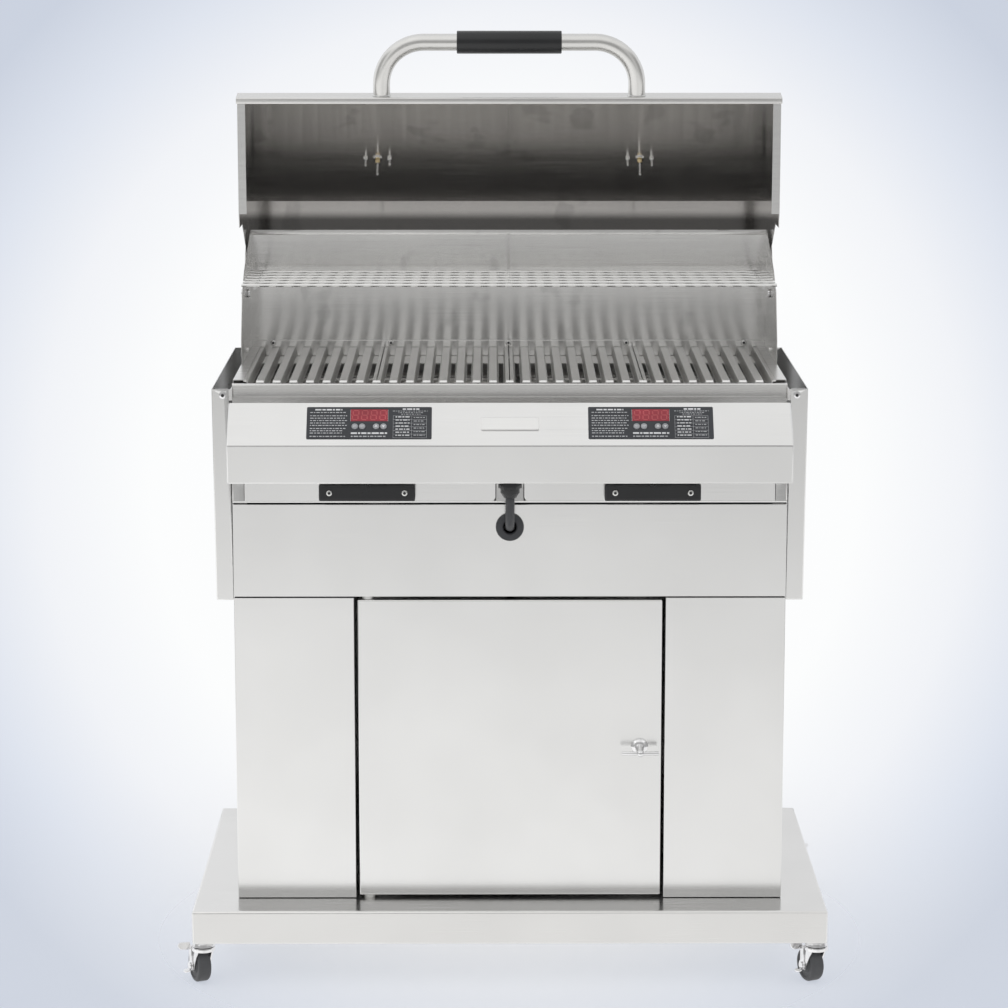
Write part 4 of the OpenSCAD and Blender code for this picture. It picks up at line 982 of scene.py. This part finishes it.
GAUGE_X, GAUGE_Y, GAUGE_Z = 202.6 * MM, 175.1 * MM, 1185.7 * MM
GAUGE_OUT = Vector((0, 0.627, 0.779))
GAUGE_R, GAUGE_T, GAUGE_SIDES, GAUGE_ROUND, BEZEL_W = 38 * MM, 15 * MM, 64, 2.5 * MM, 2.2 * MM
DIAL_R, DIAL_T, DIAL_EDGE, DIAL_DROP = 32.8 * MM, 0.5 * MM, 0.2 * MM, 4 * MM
DIAL_STEPS, DIAL_EVERY, DIAL_FIRST, DIAL_JUMP = 28, 4, 50, 50
DIAL_START, DIAL_SWEEP = math.radians(225), math.radians(270)
TICK_R, TICK_L, TICK_W = 29 * MM, 2.6 * MM, 0.4 * MM
MAIN_TICK_L, MAIN_TICK_W = 5 * MM, 0.7 * MM
NUMBER_R, NUMBER_H = 19.5 * MM, 4.6 * MM
NEEDLE_L, NEEDLE_W, NEEDLE_T, NEEDLE_OFF, NEEDLE_UP = 24 * MM, 1.6 * MM, 0.5 * MM, 8 * MM, 1.2 * MM
NEEDLE_SHARE = 0.04
BOSS_R, BOSS_L, BOSS_ROUND, BOSS_UP = 3 * MM, 2.2 * MM, 0.8 * MM, 0.4 * MM
LENS_R, LENS_T, LENS_EDGE, LENS_DROP = 33.2 * MM, 0.8 * MM, 0.3 * MM, 1.4 * MM
LID_T = 1.2 * MM
# Bars on the inside of the lid as (radius, length, sides, rounding), and nuts as (width across, thickness)
PROBE = (1.8 * MM, 31 * MM, 20, 1.2 * MM)
STEM, STEM_OFF = (1.9 * MM, 15 * MM, 16, 0.6 * MM), 18.5 * MM
COLLAR = (2.8 * MM, 9 * MM, 24, 1.2 * MM)
STEM_NUT, BACK_NUT = (6.6 * MM, 3.4 * MM), (13 * MM, 2.4 * MM)
BRASS_NUT, BRASS_NUT_UP = (7 * MM, 6 * MM), 2 * MM


def gauge_place(side):
    """Stands a piece drawn along +Z on the lid's outer face, the right way up once the lid is shut."""
    out = GAUGE_OUT.normalized()
    right = Vector((1, 0, 0))
    up = out.cross(right)
    turn = Matrix((right, up, out)).transposed().to_4x4()
    return Matrix.Translation((side * GAUGE_X, GAUGE_Y, GAUGE_Z)) @ turn


def dial_angle(share):
    return DIAL_START - DIAL_SWEEP * share


def round_the_dial(radius, angle):
    return Matrix.Translation((radius * math.cos(angle), radius * math.sin(angle), 0))


def dial_print():
    """Ticks and round numbers on the dial."""
    marks = []
    for k in range(DIAL_STEPS + 1):
        is_main = k % DIAL_EVERY == 0
        long, wide = (MAIN_TICK_L, MAIN_TICK_W) if is_main else (TICK_L, TICK_W)
        tick = slab(long, wide, LETTER_T)
        a = dial_angle(k / DIAL_STEPS)
        tick.data.transform(round_the_dial(TICK_R - long / 2, a) @ Matrix.Rotation(a, 4, "Z"))
        marks.append(tick)
        if is_main:
            number = lettering(str(DIAL_FIRST + DIAL_JUMP * k // DIAL_EVERY), NUMBER_H)
            number.data.transform(round_the_dial(NUMBER_R, a))
            marks.append(number)
    return join(marks)


def make_gauge(side, word):
    """Case, dial, needle and glass of one thermometer."""
    case = round_bar(GAUGE_R, GAUGE_T, GAUGE_SIDES, GAUGE_ROUND, 4)
    sink_top(case, BEZEL_W, DIAL_DROP)
    face_z = GAUGE_T - DIAL_DROP
    dial = raised(round_bar(DIAL_R, DIAL_T, GAUGE_SIDES, DIAL_EDGE, 2), face_z)
    ink = raised(dial_print(), face_z + DIAL_T)
    needle = slab(NEEDLE_L, NEEDLE_W, NEEDLE_T, NEEDLE_T, 2)
    turn = Matrix.Rotation(dial_angle(NEEDLE_SHARE), 4, "Z")
    needle.data.transform(turn @ Matrix.Translation((NEEDLE_OFF, 0, face_z + NEEDLE_UP)))
    boss = raised(round_bar(BOSS_R, BOSS_L, 24, BOSS_ROUND), face_z + BOSS_UP)
    lens = raised(round_bar(LENS_R, LENS_T, GAUGE_SIDES, LENS_EDGE, 2), GAUGE_T - LENS_DROP)
    for piece in (case, dial, boss, lens):
        smooth(piece)
    place = gauge_place(side)
    for piece, name, finish in ((case, "case", CHROME), (dial, "dial", DIAL), (ink, "dial_print", INK_AND_SHADE),
                                (needle, "needle", NEEDLE), (boss, "needle_boss", INK_AND_SHADE),
                                (lens, "lens", GLASS)):
        piece.data.transform(place)
        fit(piece, f"{word}_gauge_{name}", "lid", finish, "chrome")
    return case


def smooth_bar(radius, length, sides, rim):
    bar = round_bar(radius, length, sides, rim)
    smooth(bar)
    return bar


def make_gauge_inside(side, word):
    """Probe, brass nut and the two bolts that show inside the lid."""
    out = -GAUGE_OUT.normalized()
    foot = Vector((side * GAUGE_X, GAUGE_Y, GAUGE_Z)) + out * LID_T
    middle = [(foot, out)]
    bolts = [(foot + Vector((s * STEM_OFF, 0, 0)), out) for s in BOTH]
    steel = [set_of(smooth_bar(*PROBE), middle), set_of(smooth_bar(*STEM), bolts),
             set_of(hex_nut(*STEM_NUT), bolts), set_of(hex_nut(*BACK_NUT), middle)]
    fit(join(steel), word + "_gauge_stem", "lid", SCREW, "chrome")
    brass = [set_of(hex_nut(*BRASS_NUT), [(foot + out * BRASS_NUT_UP, out)]),
             set_of(smooth_bar(*COLLAR), middle)]
    fit(join(brass), word + "_gauge_nut", "lid", BRASS, "chrome")


def make_gauges():
    for side, word in SIDES:
        make_gauge(side, word)
        make_gauge_inside(side, word)
    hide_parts("thermometers")


HANDLE_FOOT = mm(190.7, 23.15, 1290.9)
HANDLE_OUT = Vector((0, -0.1558, 0.9878))
HANDLE_OFF, HANDLE_BEND, HANDLE_R = 80 * MM, 63 * MM, 12.7 * MM
BEND_STEPS = 14
BEAD_R, BEAD_UP = 1.4 * MM, 0.6 * MM


def handle_path():
    """One leg, both bends and the other leg of the handle, from the lid's front band."""
    half = [Vector((HANDLE_FOOT.x, 0, 0))]
    for k in range(BEND_STEPS + 1):
        a = math.pi / 2 * k / BEND_STEPS
        half.append(Vector((HANDLE_FOOT.x - HANDLE_BEND * (1 - math.cos(a)), 0,
                            HANDLE_OFF - HANDLE_BEND + HANDLE_BEND * math.sin(a))))
    whole = half + [Vector((-p.x, 0, p.z)) for p in reversed(half)]
    base = Vector((0, HANDLE_FOOT.y, HANDLE_FOOT.z))
    return [base + Vector((p.x, 0, 0)) + HANDLE_OUT.normalized() * p.z for p in whole]


def make_handle():
    """The handle's tube and the weld bead at each foot."""
    points = handle_path()
    tube = round_curve("lid_handle_tube", HANDLE_R, 10)
    line = tube.data.splines.new("POLY")
    line.points.add(len(points) - 1)
    for knot, p in zip(line.points, points):
        knot.co = (*p, 1)
    take(tube)
    bpy.ops.object.convert(target="MESH")
    tube = bpy.context.object
    smooth(tube)
    lay_grain(tube)
    fit(tube, "lid_handle_tube", "lid", TUBE, "handle_tube", "lid_handle")
    beads = []
    for p in (points[0], points[-1]):
        bpy.ops.mesh.primitive_torus_add(major_radius=HANDLE_R, minor_radius=BEAD_R, major_segments=48,
                                         minor_segments=10)
        bead = bpy.context.object
        bead.data.transform(Matrix.Translation(p + HANDLE_OUT * BEAD_UP) @ facing(HANDLE_OUT))
        smooth(bead)
        beads.append(bead)
    fit(join(beads), "handle_welds", "lid", SCREW, "handle_tube")


make_cart()
make_head()
make_lid()
make_digits()
make_prints()
make_key_marks()
make_badge_plate()
make_screws()
make_ridge_ends()
make_gauges()
make_handle()


# Stage and light

FLOOR_R, FLOOR_COLOUR = 4.0, (0.93, 0.935, 0.95)
SHADOW_NEAR, SHADOW_FAR, SHADOW_SHARE = 0.3, 1.2, 0.32


def make_floor():
    """Pale floor that keeps a light shadow near the object and clears into the background further out."""
    bpy.ops.mesh.primitive_circle_add(vertices=96, radius=FLOOR_R, fill_type="NGON")
    floor = bpy.context.object
    floor.name = "floor"
    finish, tree, shader = new_finish("pale floor")
    shader.inputs["Base Color"].default_value = (*FLOOR_COLOUR, 1)
    shader.inputs["Roughness"].default_value = 0.9
    shader.inputs["Specular IOR Level"].default_value = 0.0
    where = add_node(tree, "TexCoord")
    radius = add_node(tree, "VectorMath", operation="LENGTH")
    wire(tree, where.outputs["Object"], radius.inputs[0])
    away = radius.outputs["Value"]
    clearing = mapped(tree, away, SHADOW_NEAR, SHADOW_FAR, SHADOW_SHARE, 0.0, "SMOOTHSTEP")
    path = add_node(tree, "LightPath")
    seen = reckoned(tree, path.outputs["Is Camera Ray"], clearing, "MULTIPLY")
    share = reckoned(tree, seen, path.outputs["Is Diffuse Ray"])
    clear = add_node(tree, "BsdfTransparent")
    mix = add_node(tree, "MixShader")
    wire(tree, share, mix.inputs["Fac"])
    wire(tree, clear.outputs["BSDF"], mix.inputs[1])
    wire(tree, shader.outputs["BSDF"], mix.inputs[2])
    wire(tree, mix.outputs["Shader"], tree.nodes["Material Output"].inputs["Surface"])
    dress(floor, finish)


# Background seen by the camera, from the middle of its glow outwards
GLOW = ((0.0, (1.0, 1.0, 1.0)), (0.55, (0.974, 0.982, 0.985)), (0.72, (0.885, 0.90, 0.935)),
        (0.86, (0.74, 0.78, 0.86)), (1.0, (0.60, 0.648, 0.745)))
GLOW_REACH, GLOW_LIFT = 0.194, math.radians(0.42)
# Studio in front of the object by height: white sweep below, dim room at eye level, pale ceiling
STUDIO = ((-1.0, 1.0), (-0.196, 1.0), (-0.168, 0.55), (-0.15, 0.42), (0.0, 0.42), (0.3, 0.42), (0.46, 0.46),
          (0.58, 0.95), (0.76, 0.95), (1.0, 0.84))
STUDIO_TINT = (1.0, 0.997, 0.99)
# Backdrop behind the object, and where the studio turns into it
BACKDROP = (0.86, 0.865, 0.875)
BACK_FROM, BACK_TO = -0.05, 0.3
# The room is a little brighter on its left than on its right, and at both sides than in the middle
LEVEL_REACH, LEVEL_LEFT, LEVEL_RIGHT = 0.15, 1.06, 0.93
SIDE_FROM, SIDE_TO, SIDE_LIFT = 0.2, 0.6, 0.06
# Softboxes as (name, place, aim, width, height, watts)
SOFTBOXES = (("top softbox", (0, -0.6, 3.6), (0, 0, 0.8), 2.4, 2.0, 2),
             ("left softbox", (-2.6, -2.4, 2.2), (0, 0, 0.7), 1.6, 2.2, 4),
             ("right softbox", (2.6, -2.4, 2.0), (0, 0, 0.7), 1.6, 2.2, 2))


def fill_ramp(ramp, stops):
    """Gives a colour ramp its stops as (place, colour)."""
    ramp.elements[0].position, ramp.elements[0].color = stops[0][0], (*stops[0][1], 1)
    ramp.elements[1].position, ramp.elements[1].color = stops[-1][0], (*stops[-1][1], 1)
    for place, colour in stops[1:-1]:
        ramp.elements.new(place).color = (*colour, 1)


def glow_colour(tree, where):
    """White behind the object, greyer towards the corners of the picture."""
    aim = add_node(tree, "VectorMath", operation="DISTANCE")
    lift = PITCH - GLOW_LIFT
    aim.inputs[1].default_value = (math.sin(YAW), math.cos(lift), -math.sin(lift))
    wire(tree, where, aim.inputs[0])
    glow = add_node(tree, "ValToRGB")
    fill_ramp(glow.color_ramp, GLOW)
    wire(tree, mapped(tree, aim.outputs["Value"], 0.0, GLOW_REACH), glow.inputs["Fac"])
    return glow.outputs["Color"]


def room_colour(tree, heading):
    """The studio in front by its height, and the backdrop behind."""
    room = add_node(tree, "ValToRGB")
    fill_ramp(room.color_ramp, [((z + 1) / 2, scaled(STUDIO_TINT, v)) for z, v in STUDIO])
    height = reckoned(tree, reckoned(tree, heading.outputs["Z"], 1.0), 0.5, "MULTIPLY")
    wire(tree, height, room.inputs["Fac"])
    behind = mapped(tree, heading.outputs["Y"], BACK_FROM, BACK_TO, ease="SMOOTHSTEP")
    around = add_node(tree, "Mix", data_type="RGBA")
    around.inputs["B"].default_value = (*BACKDROP, 1)
    wire(tree, behind, around.inputs["Factor"])
    wire(tree, room.outputs["Color"], around.inputs["A"])
    return around.outputs["Result"]


def room_level(tree, heading):
    """The room's brightness from left to right."""
    across = mapped(tree, heading.outputs["X"], -LEVEL_REACH, LEVEL_REACH, LEVEL_LEFT, LEVEL_RIGHT)
    aside = reckoned(tree, heading.outputs["X"], 0.0, "ABSOLUTE")
    lift = mapped(tree, aside, SIDE_FROM, SIDE_TO, 1.0, 1.0 + SIDE_LIFT, "SMOOTHSTEP")
    return reckoned(tree, across, lift, "MULTIPLY")


def make_world():
    """Pale studio: a white glow behind the object for the camera, and the plain room that lights it."""
    world = bpy.data.worlds.new("studio")
    bpy.context.scene.world = world
    world.use_nodes = True
    tree = world.node_tree
    tree.nodes.clear()
    where = add_node(tree, "TexCoord")
    heading = add_node(tree, "SeparateXYZ")
    wire(tree, where.outputs["Generated"], heading.inputs["Vector"])
    seen = add_node(tree, "Background")
    given = add_node(tree, "Background")
    wire(tree, glow_colour(tree, where.outputs["Generated"]), seen.inputs["Color"])
    wire(tree, room_colour(tree, heading), given.inputs["Color"])
    wire(tree, room_level(tree, heading), given.inputs["Strength"])
    path = add_node(tree, "LightPath")
    mix = add_node(tree, "MixShader")
    wire(tree, path.outputs["Is Camera Ray"], mix.inputs["Fac"])
    wire(tree, given.outputs["Background"], mix.inputs[1])
    wire(tree, seen.outputs["Background"], mix.inputs[2])
    wire(tree, mix.outputs["Shader"], add_node(tree, "OutputWorld").inputs["Surface"])


def add_softbox(name, place, aim, width, height, watts):
    bpy.ops.object.light_add(type="AREA", location=place)
    lamp = bpy.context.object
    lamp.name = name
    lamp.data.shape = "RECTANGLE"
    lamp.data.size = width
    lamp.data.size_y = height
    lamp.data.energy = watts
    lamp.rotation_euler = (Vector(aim) - Vector(place)).to_track_quat("-Z", "Y").to_euler()


make_floor()
make_world()
for softbox in SOFTBOXES:
    add_softbox(*softbox)

bpy.context.scene.view_settings.view_transform = "Standard"
